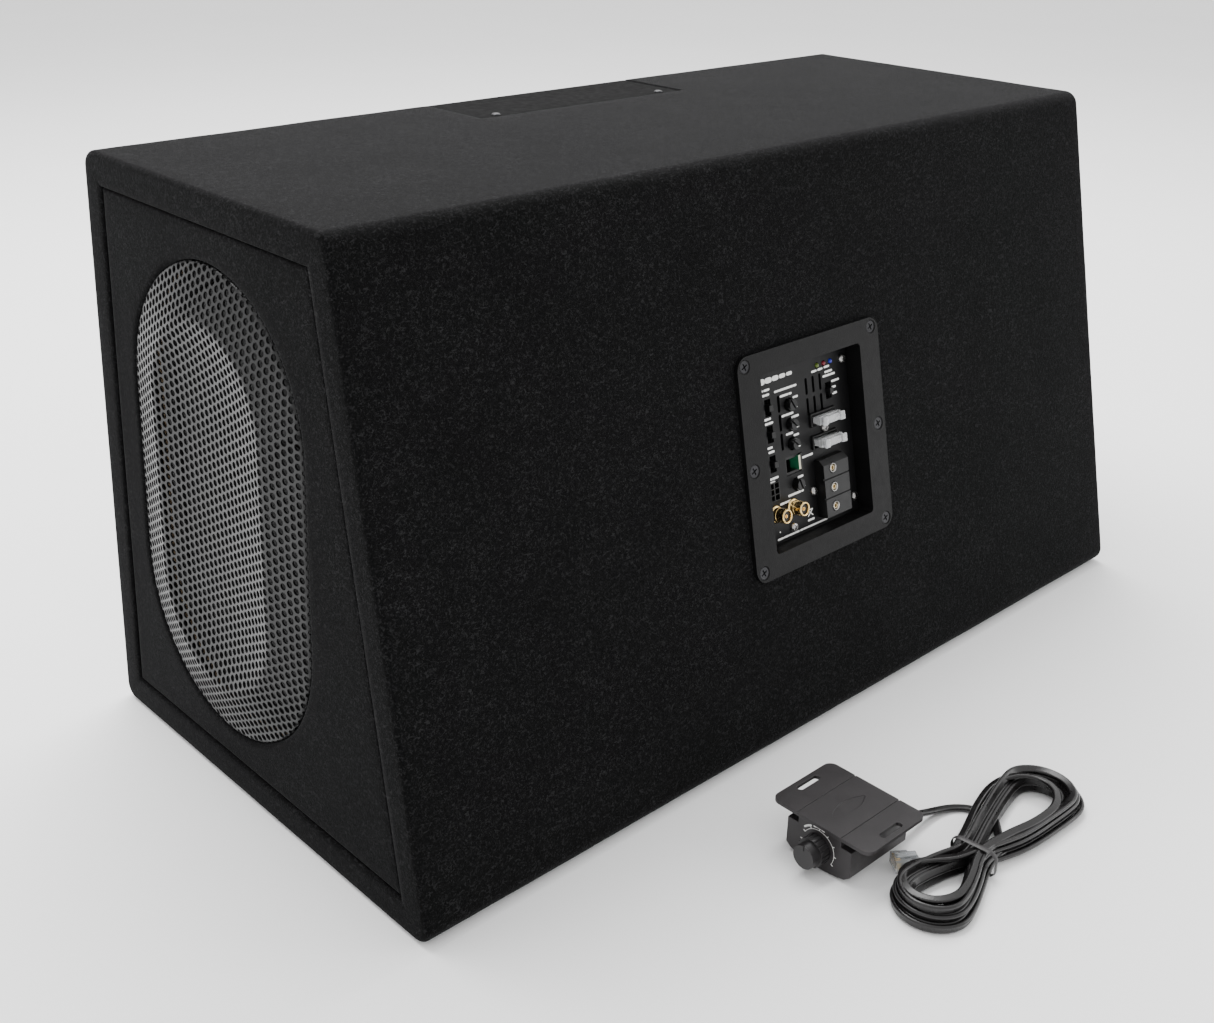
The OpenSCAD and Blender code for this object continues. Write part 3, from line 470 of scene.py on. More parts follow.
def ribbon_section(width, thick, groove=0.0):
    """A flat cord's section: round edges, flat faces and a shallow groove down each face."""
    half, r = width / 2, thick / 2
    flat = half - r
    out = []
    for sign in (1, -1):
        for degrees in range(-90, 91, 30):
            a = math.radians(degrees)
            out.append((sign * (flat + r * math.cos(a)), sign * r * math.sin(a)))
        out.append((0.0, sign * (r - groove)))
    return out


def make_cord():
    line = relaxed(smooth_line(cord_places(), 2.2), 3)
    turns = [0.0]
    for i in range(1, len(line)):
        turns.append(turns[-1] + (line[i] - line[i - 1]).length)
    total = turns[-1]

    lead_end, loose_start, tail_start = 55.0, total - 400.0, total - 30.0

    def roll(i):
        """Flat along the lead, leaning on its edge round the hank, and flatter in the loose loop."""
        rise = max(0.0, min(1.0, (turns[i] - lead_end) / 45.0))
        loose = max(0.25, min(1.0, (loose_start - turns[i]) / 60.0))
        fall = max(0.0, min(1.0, (tail_start - turns[i]) / 40.0))
        sway = 0.2 * math.sin(turns[i] / 83.0) + 0.1 * math.sin(turns[i] / 29.0 + 1.3)
        return min(rise, loose, fall) * (HANK_ROLL + sway)

    floor = CORD_THICK / 2
    for i, p in enumerate(line):
        tilt = abs(math.sin(roll(i))) * (CORD_WIDTH - CORD_THICK) / 2
        p.z = max(p.z, floor + tilt + 0.05)
    points, faces = swept(line, ribbon_section(CORD_WIDTH, CORD_THICK, 0.28), roll)
    cord = new_piece("flat_cord", [p * MM for p in points], faces, JACKET, "remote",
                     sharp=60.0)
    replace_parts(cord, "remote_cord", "cord_hank")
    return cord, [p * MM for p in line]


cord_piece, cord_path = make_cord()


PLUG_PLACE, PLUG_TURN = Vector((-83.5, -247, 0)), math.radians(-35)


def make_plug():
    """The clear modular plug: stepped body, latch, contacts and the cord's end inside it."""
    place = Matrix.Translation(PLUG_PLACE * MM) @ Matrix.Rotation(PLUG_TURN, 4, "Z") @ Matrix.Scale(MM, 4)
    bm = bmesh.new()
    box_into(bm, (-6.5, -4.85, 0.0), (2.0, 4.85, 6.2))
    box_into(bm, (1.8, -4.5, 0.5), (6.4, 4.5, 5.7))
    bevel_sharp(bm, 0.35, 2)
    latch = bmesh.new()
    box_into(latch, (-5.4, -1.6, 6.7), (5.2, 1.6, 7.5))
    box_into(latch, (-6.0, -1.6, 6.0), (-4.6, 1.6, 7.5))
    bevel_sharp(latch, 0.2, 2)
    mesh = bpy.data.meshes.new("latch")
    latch.to_mesh(mesh)
    latch.free()
    bm.from_mesh(mesh)
    bpy.data.meshes.remove(mesh)
    bm.transform(place)
    body = from_bmesh(bm, "plug_body", CLEAR, "remote")
    inner = bmesh.new()
    for i in range(6):
        y = -2.55 + i * 1.02
        box_into(inner, (-6.3, y - 0.18, 1.2), (-3.6, y + 0.18, 6.35))
    bevel_sharp(inner, 0.05, 1)
    inner.transform(place)
    contacts = from_bmesh(inner, "plug_contacts", GOLD, "remote")
    end = bmesh.new()
    box_into(end, (-1.2, -2.3, 1.7), (6.9, 2.3, 3.9))
    for i in range(4):
        y = -1.53 + i * 1.02
        box_into(end, (-3.8, y - 0.3, 2.2), (-1.1, y + 0.3, 2.9))
    bevel_sharp(end, 0.25, 2)
    end.transform(place)
    core = from_bmesh(end, "plug_cord_end", JACKET, "remote")
    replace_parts(body, "cord_plug")
    return [body, contacts, core]


def make_tie():
    """A twist tie: a flat strip wound once round the waist."""
    half_y, top, corner, low = 11.9, 14.2, 4.5, 0.3
    side_y = half_y - corner
    ring = []
    for centre_y, centre_z, start in ((side_y, top - corner, 0), (-side_y, top - corner, 90),
                                      (-side_y, corner + low, 180), (side_y, corner + low, 270)):
        for k in range(7):
            a = math.radians(start + 15 * k)
            ring.append((centre_y + corner * math.cos(a), centre_z + corner * math.sin(a)))
    count = len(ring)
    points = []
    strip = [(-1.6, 0.0), (-0.9, 0.28), (0, 0.5), (0.9, 0.28), (1.6, 0.0), (0.9, -0.22), (0, -0.3),
             (-0.9, -0.22)]
    for i, (y, z) in enumerate(ring):
        before, after = Vector(ring[i - 1]), Vector(ring[(i + 1) % count])
        along = (after - before).normalized()
        out = Vector((along.y, -along.x))
        for side, lift in strip:
            points.append(from_hank(WAIST_X + side + 1.2 * (i / count), y + out.x * lift, z + out.y * lift))
    width = len(strip)
    faces = [(i * width + j, i * width + (j + 1) % width,
              ((i + 1) % count) * width + (j + 1) % width, ((i + 1) % count) * width + j)
             for i in range(count) for j in range(width)]
    tie = new_piece("twist_tie", [p * MM for p in points], faces, TIE, "remote",
                    sharp=50.0)
    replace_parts(tie, "cord_tie")
    return tie


def make_gland():
    """The moulded strain relief: a rim on the housing's rear wall and a short ribbed, tapered nose."""
    outline = [(-73.2, 1.5), (-70.0, 1.5), (-69.6, 1.4), (-69.4, 0.9), (-68.9, 0.85), (-68.7, 1.1),
               (-68.2, 1.05), (-68.0, 0.7), (-67.5, 0.65), (-67.3, 0.9), (-66.8, 0.8), (-66.4, 0.35)]
    _, exit_y, exit_z = CORD_ROUTE[0]
    section = ribbon_section(CORD_WIDTH, CORD_THICK)
    points = []
    for x, grow in outline:
        for side, up in section:
            more = 1 + grow / math.hypot(side, up)
            points.append(Vector((x, exit_y + side * more, exit_z + up * more)) * MM)
    faces = capped_rings(len(outline), len(section))
    gland = new_piece("strain_relief", points, faces, TIE, "remote", sharp=50.0)
    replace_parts(gland, "cord_gland")
    return gland


plug_pieces = make_plug()
tie_piece = make_tie()
gland_piece = make_gland()


# ---- carpet -----------------------------------------------------------------
CABINET_LENGTH, CABINET_HEIGHT, BASE_DEPTH, TOP_DEPTH = 595.0, 320.0, 285.0, 218.5
EDGE_ROUND, WALL, END_INSET = 9.0, 17.5, 1.0
HALF_LENGTH, HALF_DEPTH = CABINET_LENGTH / 2, BASE_DEPTH / 2
SLOPE = math.atan((BASE_DEPTH - TOP_DEPTH) / CABINET_HEIGHT)
FOLD = 3.2
PANEL_X, PANEL_UP = 0.0, 160.5
HOLE_HALF_X, HOLE_HALF_V = 46.5, 53.5
POCKET_X, POCKET_HALF, POCKET_DEPTH, POCKET_SINK = 3.0, 83.0, 57.0, 2.0


def front_y(z, inset):
    return -HALF_DEPTH + z * math.tan(SLOPE) + inset / math.cos(SLOPE)


def corner_rounds(inset, r):
    """Middle of each rounded corner of the section in (Y, Z), and the angles that it turns through."""
    d = inset + r
    lean = math.pi - SLOPE
    return [(Vector((front_y(d, d), d)), lean, 1.5 * math.pi),
            (Vector((HALF_DEPTH - d, d)), 1.5 * math.pi, 2 * math.pi),
            (Vector((HALF_DEPTH - d, CABINET_HEIGHT - d)), 2 * math.pi, 2.5 * math.pi),
            (Vector((front_y(CABINET_HEIGHT - d, d), CABINET_HEIGHT - d)), 2.5 * math.pi, lean + 2 * math.pi)]


def front_run():
    """Lowest and highest point of the front's flat stretch, measured up its slope."""
    low = EDGE_ROUND * (1 + math.sin(SLOPE)) / math.cos(SLOPE)
    high = CABINET_HEIGHT / math.cos(SLOPE) - EDGE_ROUND * (1 - math.sin(SLOPE)) / math.cos(SLOPE)
    return low, high


def stretch_fractions():
    """Where the four straight stretches are divided: under, up the back, along the top, down the front."""
    hole = [PANEL_UP - HOLE_HALF_V, PANEL_UP + HOLE_HALF_V]
    low, high = front_run()
    front = sorted({(high - v) / (high - low) for v in hole} | {i / 36 for i in range(37)})
    top_length = TOP_DEPTH - 2 * EDGE_ROUND
    step = (POCKET_DEPTH - EDGE_ROUND) / top_length
    top = sorted({i / 24 for i in range(25)} | {step + k / top_length for k in (-4, -3, -2, -1, 0, 1)})
    even = [i / 28 for i in range(29)]
    return [even, even, top, front]


FRACTIONS = stretch_fractions()
ARC_STEPS = 12


def section_stations(inset, r):
    """Points (Y, Z) and outward normals round the section; the count doesn't depend on the inset."""
    rounds = corner_rounds(inset, r)
    found = []
    for k, (centre, a0, a1) in enumerate(rounds):
        for i in range(ARC_STEPS):
            a = a0 + (a1 - a0) * i / ARC_STEPS
            normal = Vector((math.cos(a), math.sin(a)))
            found.append((centre + normal * r, normal, ("arc", k, i / ARC_STEPS)))
        normal = Vector((math.cos(a1), math.sin(a1)))
        start = centre + normal * r
        following = rounds[(k + 1) % 4]
        end = following[0] + normal * r
        for f in FRACTIONS[k][:-1]:
            found.append((start + (end - start) * f, normal, ("line", k, f)))
    return found


def smoothstep(a, b, x):
    t = max(0.0, min(1.0, (x - a) / (b - a)))
    return t * t * (3 - 2 * t)


def pocket_dip(x, y, z):
    """How far the carpet is pressed in under the plate in the top's rear edge."""
    across = smoothstep(POCKET_HALF + 1.5, POCKET_HALF - 1.5, abs(x - POCKET_X))
    edge = HALF_DEPTH - POCKET_DEPTH
    along = smoothstep(edge - 2.0, edge + 1.0, y) * smoothstep(300.0, 312.0, z)
    return POCKET_SINK * across * along


def waviness(x, y, z, amount):
    place = Vector((x, y, z))
    return amount * (noise.noise(place / 38.0) + 0.5 * noise.noise(place / 11.0))


def make_wrap():
    """The carpet round the long faces, rolled over both ends, with the amplifier's cut-out and the pocket."""
    ends = []
    for k in range(7):
        a = math.radians(15 * k)
        ends.append((HALF_LENGTH - FOLD + FOLD * math.sin(a), FOLD * (1 - math.cos(a))))
    ends += [(HALF_LENGTH, 8.0), (HALF_LENGTH, 13.0)]
    for k in range(1, 6):
        a = math.radians(18 * k)
        ends.append((HALF_LENGTH - 1.6 * (1 - math.cos(a)), WALL - 0.4 - 1.6 * (1 - math.sin(a))))
    ends.append((HALF_LENGTH - 4.0, WALL - 0.4))
    hole = [PANEL_X - HOLE_HALF_X, PANEL_X + HOLE_HALF_X]
    dips = [POCKET_X + s * (POCKET_HALF + d) for s in (-1, 1) for d in (-2, -1, 0, 1, 2)]
    inner = [-HALF_LENGTH + FOLD + 8 + i * (CABINET_LENGTH - 2 * FOLD - 16) / 72 for i in range(73)]
    middle = sorted(set(hole + dips + inner))
    stations = [(-x, inset) for x, inset in reversed(ends)] + [(x, 0.0) for x in middle] + ends
    points = []
    for x, inset in stations:
        r = max(EDGE_ROUND - inset, 0.6)
        for place, normal, _ in section_stations(inset, r):
            wave = waviness(x, place.x, place.y, 0.16 if inset < FOLD else 0.05)
            if place.y < 1.0:
                wave = 0.0
            dip = pocket_dip(x, place.x, place.y) if inset == 0.0 else 0.0
            q = place - normal * (dip + 0.12 + wave)
            points.append(Vector((x, q.x, max(q.y, 0.0))) * MM)
    marks = section_stations(0.0, EDGE_ROUND)
    count = len(marks)
    low, high = front_run()

    def in_hole(station, i):
        kind, k, f = marks[i][2]
        if kind != "line" or k != 3:
            return False
        v = high - (high - low) * (f + 1e-4)
        x = stations[station][0] + 1e-4
        return abs(v - PANEL_UP) < HOLE_HALF_V and abs(x - PANEL_X) < HOLE_HALF_X

    faces = [f for f in ring_faces(len(stations), count) if not in_hole(f[0] // count, f[0] % count)]
    wrap = new_piece("carpet_cover", points, faces, CARPET, "cabinet", sharp=70.0)
    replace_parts(wrap, "carpet_wrap", "base_carpet")


DRIVER_Y, DRIVER_Z = 26.0, 159.0
OPENING_R, OPENING_HALF = 78.0, 126.0


def racetrack_hit(direction, r, half):
    """How far a ray from the middle goes to a racetrack outline."""
    straight = half - r
    dy, dz = abs(direction.x), abs(direction.y)
    if dy > 1e-9 and dz * r / dy <= straight:
        return r / dy
    return dz * straight + math.sqrt(max(0.0, (dz * straight) ** 2 - (straight ** 2 - r ** 2)))


def polygon_hit(direction, corners):
    """How far a ray from the middle goes to a convex outline round it."""
    best = 1e9
    for i, a in enumerate(corners):
        edge = corners[(i + 1) % len(corners)] - a
        cross = direction.x * edge.y - direction.y * edge.x
        if abs(cross) < 1e-9:
            continue
        t = (a.x * edge.y - a.y * edge.x) / cross
        s = (a.x * direction.y - a.y * direction.x) / cross
        if t > 0 and -1e-6 <= s <= 1 + 1e-6:
            best = min(best, t)
    return best


def make_end_carpet(side, name):
    """One end's carpet, its outer edge tucked into the seam and its inner edge rolled into the opening."""
    def outline(inset):
        middle = Vector((DRIVER_Y, DRIVER_Z))
        return [c[0] - middle for c in corner_rounds(inset, 0.0)]

    angles = {math.radians(2 * i) for i in range(180)}
    for inset in (WALL + 0.5, WALL + 2.5):
        angles |= {math.atan2(c.y, c.x) % (2 * math.pi) for c in outline(inset)}
    rays = [Vector((math.cos(a), math.sin(a))) for a in sorted(angles)]
    face = HALF_LENGTH - END_INSET
    loops = [(WALL + 0.3, face - 2.4), (WALL + 0.35, face - 0.9), (WALL + 0.8, face - 0.25),
             (WALL + 1.8, face)]
    rings = [[ray * polygon_hit(ray, outline(inset)) for ray in rays] for inset, _ in loops]
    depths = [x for _, x in loops]
    lips = [(2.6, face), (1.2, face - 0.2), (0.2, face - 0.8), (-0.35, face - 1.9), (-0.4, face - 12.0)]
    lip_rings = [[ray * racetrack_hit(ray, OPENING_R + g, OPENING_HALF + g) for ray in rays] for g, _ in lips]
    for k in range(1, 9):
        rings.append([a.lerp(b, k / 9) for a, b in zip(rings[3], lip_rings[0])])
        depths.append(face)
    rings += lip_rings
    depths += [x for _, x in lips]
    points = []
    for ring, x in zip(rings, depths):
        for q in ring:
            y, z = DRIVER_Y + q.x, DRIVER_Z + q.y
            points.append(Vector((side * (x - 0.05 + waviness(x * side, y, z, 0.1)), y, z)) * MM)
    faces = ring_faces(len(rings), len(rays))
    return new_piece(name, points, faces, CARPET, "cabinet", sharp=70.0)


make_wrap()
for side, name in ((-1, "left_end_felt"), (1, "right_end_felt")):
    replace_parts(make_end_carpet(side, name), "end_carpets")


# ---- grilles ----------------------------------------------------------------
GRILLE_R, GRILLE_HALF, GRILLE_BAND = 77.0, 125.0, 28.0
GRILLE_EDGE, RIDGE_HIGH, DISH_DEEP, SKIRT_DEEP = -1.5, 4.8, 5.0, 5.0
HOLE_PITCH, HOLE_R, SHEET_THICK = 4.75, 1.78, 1.1
STRAIGHT = GRILLE_HALF - GRILLE_R
RIDGE_R = GRILLE_R - GRILLE_BAND
BAND_SLOPE = (RIDGE_HIGH - GRILLE_EDGE) / GRILLE_BAND
BEND, RIDGE_SOFT = 1.6, 2.5


def sheet_height(r):
    """Height of the pressed sheet at a distance from its middle line."""
    def band(q):
        return GRILLE_EDGE + (GRILLE_R - q) * BAND_SLOPE

    def dish(q):
        return RIDGE_HIGH - DISH_DEEP * (1 - (q / RIDGE_R) ** 2)

    if abs(r - RIDGE_R) >= RIDGE_SOFT:
        return band(r) if r > RIDGE_R else dish(r)
    t = (r - RIDGE_R + RIDGE_SOFT) / (2 * RIDGE_SOFT)
    low, high = dish(RIDGE_R - RIDGE_SOFT), band(RIDGE_R + RIDGE_SOFT)
    slope_in = 2 * DISH_DEEP * (RIDGE_R - RIDGE_SOFT) / RIDGE_R ** 2
    return (low * (1 - t) ** 2 * (1 + 2 * t) + high * t * t * (3 - 2 * t)
            + 2 * RIDGE_SOFT * (slope_in * t * (1 - t) ** 2 + BAND_SLOPE * t * t * (1 - t)))


def sheet_profile(s):
    """Radius and height at a length along the sheet; past the outline the sheet bends down as a skirt."""
    flat_end = GRILLE_R - BEND
    if s <= flat_end:
        return s, sheet_height(s)
    turn = (s - flat_end) / BEND
    if turn < math.pi / 2:
        return flat_end + BEND * math.sin(turn), sheet_height(flat_end) - BEND * (1 - math.cos(turn))
    return GRILLE_R, sheet_height(flat_end) - BEND - BEND * (turn - math.pi / 2)


def sheet_place(x, y, drop):
    """A place of the flat lattice, bent onto the pressed form and moved in by the sheet's thickness."""
    spine = max(-STRAIGHT, min(STRAIGHT, y))
    away = Vector((x, y - spine))
    s = min(away.length, GRILLE_R + SKIRT_DEEP)
    r, z = sheet_profile(s)
    if drop:
        r1, z1 = sheet_profile(s + 0.2)
        r0, z0 = sheet_profile(max(s - 0.2, 0.0))
        along = Vector((r1 - r0, z1 - z0)).normalized()
        r, z = r + along.y * drop, z - along.x * drop
    if away.length > 1e-9:
        away = away.normalized() * r
    return away.x, spine + away.y, z


def grille_sheet():
    """A pressed steel sheet with staggered round holes right to its skirt, as points and faces."""
    points, faces, index = [], [], {}

    def add(x, y, drop):
        key = (round(x, 3), round(y, 3), drop)
        if key not in index:
            index[key] = len(points)
            points.append(sheet_place(x, y, drop))
        return index[key]

    column_step = HOLE_PITCH * math.sqrt(3) / 2
    limit = GRILLE_R + SKIRT_DEEP
    columns, rows = int(limit / column_step) + 2, int((limit + STRAIGHT) / HOLE_PITCH) + 2
    corner_r = HOLE_PITCH / math.sqrt(3)
    for column in range(-columns, columns + 1):
        for row in range(-rows, rows + 1):
            cx = column * column_step
            cy = (row + 0.5 * (column % 2)) * HOLE_PITCH
            s = math.hypot(cx, max(abs(cy) - STRAIGHT, 0.0))
            if s > limit + HOLE_PITCH / 2:
                continue
            rim = []
            for k in range(12):
                a = math.radians(30 * k)
                reach = corner_r if k % 2 == 0 else corner_r * math.cos(math.radians(30))
                x, y = cx + reach * math.cos(a), cy + reach * math.sin(a)
                spine = max(-STRAIGHT, min(STRAIGHT, y))
                away = Vector((x, y - spine))
                if away.length > limit:
                    away = away.normalized() * limit
                rim.append((away.x, spine + away.y))
            if s < limit - HOLE_R - 0.5:
                outer = [add(*p, 0.0) for p in rim]
                circle = [(cx + HOLE_R * math.cos(math.radians(30 * k)),
                           cy + HOLE_R * math.sin(math.radians(30 * k))) for k in range(12)]
                edge = [add(*p, 0.0) for p in circle]
                under = [add(*p, SHEET_THICK) for p in circle]
                for k in range(12):
                    n = (k + 1) % 12
                    faces.append((outer[k], outer[n], edge[n], edge[k]))
                    faces.append((edge[k], edge[n], under[n], under[k]))
            else:
                face = []
                for p in rim:
                    i = add(*p, 0.0)
                    if i not in face:
                        face.append(i)
                if len(face) > 2:
                    faces.append(tuple(face))
    return points, faces


def end_place(side, x, y, z):
    """From an end's own frame, X to the front, Y up, Z outward, to the box's frame in metres."""
    return Vector((side * (HALF_LENGTH + z), DRIVER_Y - x, DRIVER_Z + y)) * MM


def make_grilles():
    points, faces = grille_sheet()
    for side, node in ((-1, "left_grille"), (1, "right_grille")):
        facing = faces if side < 0 else [f[::-1] for f in faces]
        piece = new_piece(node + "_mesh", [end_place(side, *p) for p in points], facing, PAINTED, "cabinet",
                          sharp=40.0)
        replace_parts(piece, node)


make_grilles()


# ---- amplifier panel --------------------------------------------------------
PLATE_OUT = -8.2
CLAMP_OUT = -1.7
JACK_PITCH = 15.0
LIGHTS_V = 41.8


def flat_marks(name, bars, place, body):
    """Printed marks: short round-ended bars from (u0, v0) to (u1, v1), of a width, laid on a face."""
    bm = bmesh.new()
    for u0, v0, u1, v1, width in bars:
        start, end = Vector((u0, v0)), Vector((u1, v1))
        along = (end - start).normalized() if (end - start).length > 1e-6 else Vector((1, 0))
        side = Vector((-along.y, along.x))
        rim = []
        for centre, first in ((end, -90), (start, 90)):
            for k in range(5):
                a = math.radians(first + 45 * k)
                rim.append(centre + (along * math.cos(a) + side * math.sin(a)) * width / 2)
        low = [bm.verts.new(place(p.x, p.y, 0.02)) for p in rim]
        high = [bm.verts.new(place(p.x, p.y, 0.07)) for p in rim]
        bm.faces.new(high)
        bm.faces.new(low[::-1])
        for i in range(len(rim)):
            j = (i + 1) % len(rim)
            bm.faces.new((low[i], low[j], high[j], high[i]))
    return from_bmesh(bm, name, INK, body)


def broken_line(u0, v0, u1, v1, width, pieces, rng):
    """A line of short dashes with small gaps, which stands for a line of print."""
    cuts = sorted(rng.uniform(0.08, 0.92) for _ in range(pieces - 1))
    edges = [0.0, *cuts, 1.0]
    gap = 0.45 / max(math.hypot(u1 - u0, v1 - v0), 1e-6)
    found = []
    for a, b in zip(edges, edges[1:]):
        a, b = a + gap, b - gap
        if b > a:
            found.append((u0 + (u1 - u0) * a, v0 + (v1 - v0) * a, u0 + (u1 - u0) * b, v0 + (v1 - v0) * b,
                          width))
    return found


def make_marks():
    """White marks: dashes for captions, dots and short ticks beside the controls. There is no lettering."""
    rng = random.Random(4)
    bars = []
    for k in range(5):
        bars.append((-32.6 + k * 5.9, 42.6, -29.6 + k * 5.9, 42.6, 3.4 - 0.35 * k))
    captions = [(-31.5, 37.6, -25, 3), (-31.3, 34.9, -25.6, 2), (-21.2, 35, -2.3, 5), (-16.8, 31.4, -7, 3),
                (-6.2, 28.6, -2, 3), (-16.8, 20.2, -7, 2), (-8.8, 17.8, -2.6, 3), (-14.6, 9.2, -8.7, 2),
                (-8.2, 7.3, -3.2, 2), (11.5, 39, 16, 2), (17.1, 39.1, 21.3, 2), (22.7, 39.3, 27.3, 2),
                (23, 36.4, 29.5, 2), (21, 34.2, 31.8, 3), (28.2, 30, 34.9, 2), (28.2, 26.5, 31.6, 1),
                (28.3, 22.9, 32.2, 1), (-34.8, 21.4, -26, 3), (-33.6, 18.9, -24.5, 3), (-30.8, 5.3, -26.8, 1),
                (-30.3, 2.8, -25.6, 1), (-3.7, -6.9, 6.4, 3), (-34.1, -12.2, -24.2, 3),
                (-33.5, -14.2, -27.3, 2), (-17.4, -25.4, -4.3, 3), (-24.8, -28.2, -13.5, 3),
                (-8, -17, -2.6, 2), (-2.7, -43.9, 2.9, 2)]
    for u0, v, u1, pieces in captions:
        bars += broken_line(u0, v, u1, v, 1.25, pieces, rng)
    for u, v in ((-33.6, 31), (-33.6, 24.5), (-33.5, 15.3), (-33.3, 8.9), (-33, 4.1), (-33.2, 0), (-33, -3.7),
                 (-33, -7.5)):
        bars.append((u - 1.2, v, u + 1.1, v, 0.9))
    bars += broken_line(-29.5, -47.4, 14.3, -47.4, 1.1, 12, rng)
    for u, v in ((-33.4, -40.7), (-33.3, -42.7), (-33.2, -44.7), (-27, -43.5)):
        bars.append((u, v, u, v, 0.95))
    for u, v in ((-10, 25.5), (-10, 14.3), (-10, 3.2), (-9.3, -20.4)):
        bars.append((u + 5.2, v - 2.8, u + 6.6, v - 2.8, 0.8))
    bars += [(-2.2, -38, 2.0, -41.6, 0.6), (2.0, -38, -2.2, -41.6, 0.6), (-1.6, -38, 1.4, -38, 0.6)]
    flat_marks("panel_marks", bars, lambda u, v, out: on_panel(u, v, PLATE_OUT + out), "cabinet")


def panel_turned(name, outline, places, out, material, steps=40):
    """The same turned form at several places on the panel."""
    points, faces = [], []
    for u, v in places:
        ps, fs = turned(outline, steps)
        faces += [tuple(i + len(points) for i in f) for f in fs]
        points += [on_panel(u + p.x, v + p.y, out + p.z) for p in ps]
    return new_piece(name, points, faces, material, "cabinet", sharp=40.0)


def make_jacks():
    """Phono jacks: a turned gold shell with a grooved collar, a black insulator and a gold centre contact."""
    shell = [(4.6, -1.4), (4.9, -1.1), (4.9, 0.8), (4.6, 1.1), (4.15, 1.3), (4.1, 3.4), (3.98, 3.5),
             (3.98, 3.8), (4.1, 3.9), (4.15, 7.9), (4.1, 8.45), (3.9, 8.85), (3.6, 9.0), (3.25, 8.9),
             (3.05, 8.6), (3.0, 8.1), (3.0, 3.0)]
    insulator = [(2.98, 3.1), (2.98, 7.6), (2.8, 7.8), (1.3, 7.8), (1.15, 7.6), (1.15, 4.0)]
    contact = [(1.13, 4.1), (1.13, 7.7), (1.0, 7.9), (0.85, 7.9), (0.72, 7.7), (0.72, 3.2)]
    places = ((JACK_U / MM, JACK_V / MM), (JACK_U / MM + JACK_PITCH, JACK_V / MM))
    shells = panel_turned("phono_shells", shell, places, PLATE_OUT, GOLD, 64)
    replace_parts(shells, "rca_jacks")
    panel_turned("phono_insulators", insulator, places, PLATE_OUT, BLACK, 64)
    panel_turned("phono_contacts", contact, places, PLATE_OUT, GOLD, 64)


def make_fuses():
    """Blade fuses: a waisted clear body with end pads over a steel link and two blades."""
    body, link = bmesh.new(), bmesh.new()
    for u, v in ((17, 12), (17, -1)):
        for bm, boxes in ((body, ((-9.5, -1.9, -1.6, 9.5, 1.9, 4.0), (-9.5, -2.5, 3.6, 9.5, 2.5, 6.4),
                                  (-8.3, -2.1, 6.2, 8.3, 2.1, 8.9), (-9.5, -2.5, 8.0, -5.6, 2.5, 9.6),
                                  (5.6, -2.5, 8.0, 9.5, 2.5, 9.6))),
                          (link, ((-8.2, -0.35, -2.6, -4.2, 0.35, 8.6), (4.2, -0.35, -2.6, 8.2, 0.35, 8.6),
                                  (-4.4, -0.3, 5.4, 4.4, 0.3, 6.6)))):
            for u0, v0, o0, u1, v1, o1 in boxes:
                box_into(bm, (u + u0, v + v0, PLATE_OUT + o0), (u + u1, v + v1, PLATE_OUT + o1))
    for bm, width in ((body, 0.45), (link, 0.08)):
        bevel_sharp(bm, width, 2)
        onto_panel(bm)
    piece = from_bmesh(body, "fuse_bodies", FUSE_CLEAR, "cabinet")
    from_bmesh(link, "fuse_links", BRIGHT, "cabinet")
    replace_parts(piece, "fuses")


def make_lights():
    """Three small domed lamps: green, red and blue."""
    radius = 1.3
    dome = [(radius, -2.0), (radius, 0.0)]
    for degrees in range(12, 90, 13):
        a = math.radians(degrees)
        dome.append((radius * math.cos(a), radius * math.sin(a)))
    for u, name, color in ((16.7, "green_light", (0.09, 0.13, 0.02)),
                           (22.6, "red_light", (0.16, 0.015, 0.025)),
                           (28.5, "blue_light", (0.02, 0.025, 0.3))):
        ps, faces = turned(dome, 32)
        points = [on_panel(u + p.x, LIGHTS_V + p.y, PLATE_OUT + p.z) for p in ps]
        lens = lamp_lens(name + "_lens", color, 0.25)
        piece = new_piece(name, points, faces, lens, "cabinet")
        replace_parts(piece, "indicator_lights")


def make_screws():
    """Clamp screws with a bright collar round a brass head, and domed cross-head screws on the panel."""
    clamps = [(15.0, -27.8 + k * 11.2) for k in (-1, 0, 1)]
    collar = [(2.75, -3.0), (2.75, 0.1), (2.6, 0.4), (2.35, 0.45), (2.1, 0.2), (2.02, -0.6), (2.0, -2.0)]
    head = [(1.75, -2.0), (1.7, -0.5), (1.5, -0.15), (1.2, 0.0), (1.05, -0.1), (0.95, -0.4), (0.9, -1.9)]
    collars = panel_turned("clamp_collars", collar, clamps, CLAMP_OUT, BRIGHT)
    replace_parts(collars, "terminal_screws")
    panel_turned("clamp_heads", head, clamps, CLAMP_OUT, NICKEL)
    places = [(38.5, 41.3), (18.1, 5.5), (4, -28.1), (-15.5, -43.6), (39.4, -41)]
    dome = [(2.6, -0.3), (2.6, 0.4), (2.45, 0.95), (2.1, 1.45), (1.5, 1.8), (0.8, 1.95), (0.3, 1.98)]
    panel_turned("screw_domes", dome, places, PLATE_OUT, BRIGHT)
    bm = bmesh.new()
    for u, v in places:
        for turn in (20, 110):
            arm = Matrix.Translation((u, v, PLATE_OUT)) @ Matrix.Rotation(math.radians(turn), 4, "Z")
            box_into(bm, (-1.35, -0.24, 1.2), (1.35, 0.24, 2.02), arm)
    onto_panel(bm)
    from_bmesh(bm, "screw_crosses", BLACK_STEEL, "cabinet")


def make_socket_board():
    """The edge of the circuit board that shows along one side of the modular socket."""
    bm = bmesh.new()
    box_into(bm, (-7.1, -12.6, -14.0), (-5.4, -4.4, -7.3))
    bevel_sharp(bm, 0.06, 1)
    for face in bm.faces:
        face.material_index = 1 if face.normal.z > 0.9 else 0
    onto_panel(bm)
    from_bmesh(bm, "socket_board", [LAMINATE, BOARD_EDGE], "cabinet")


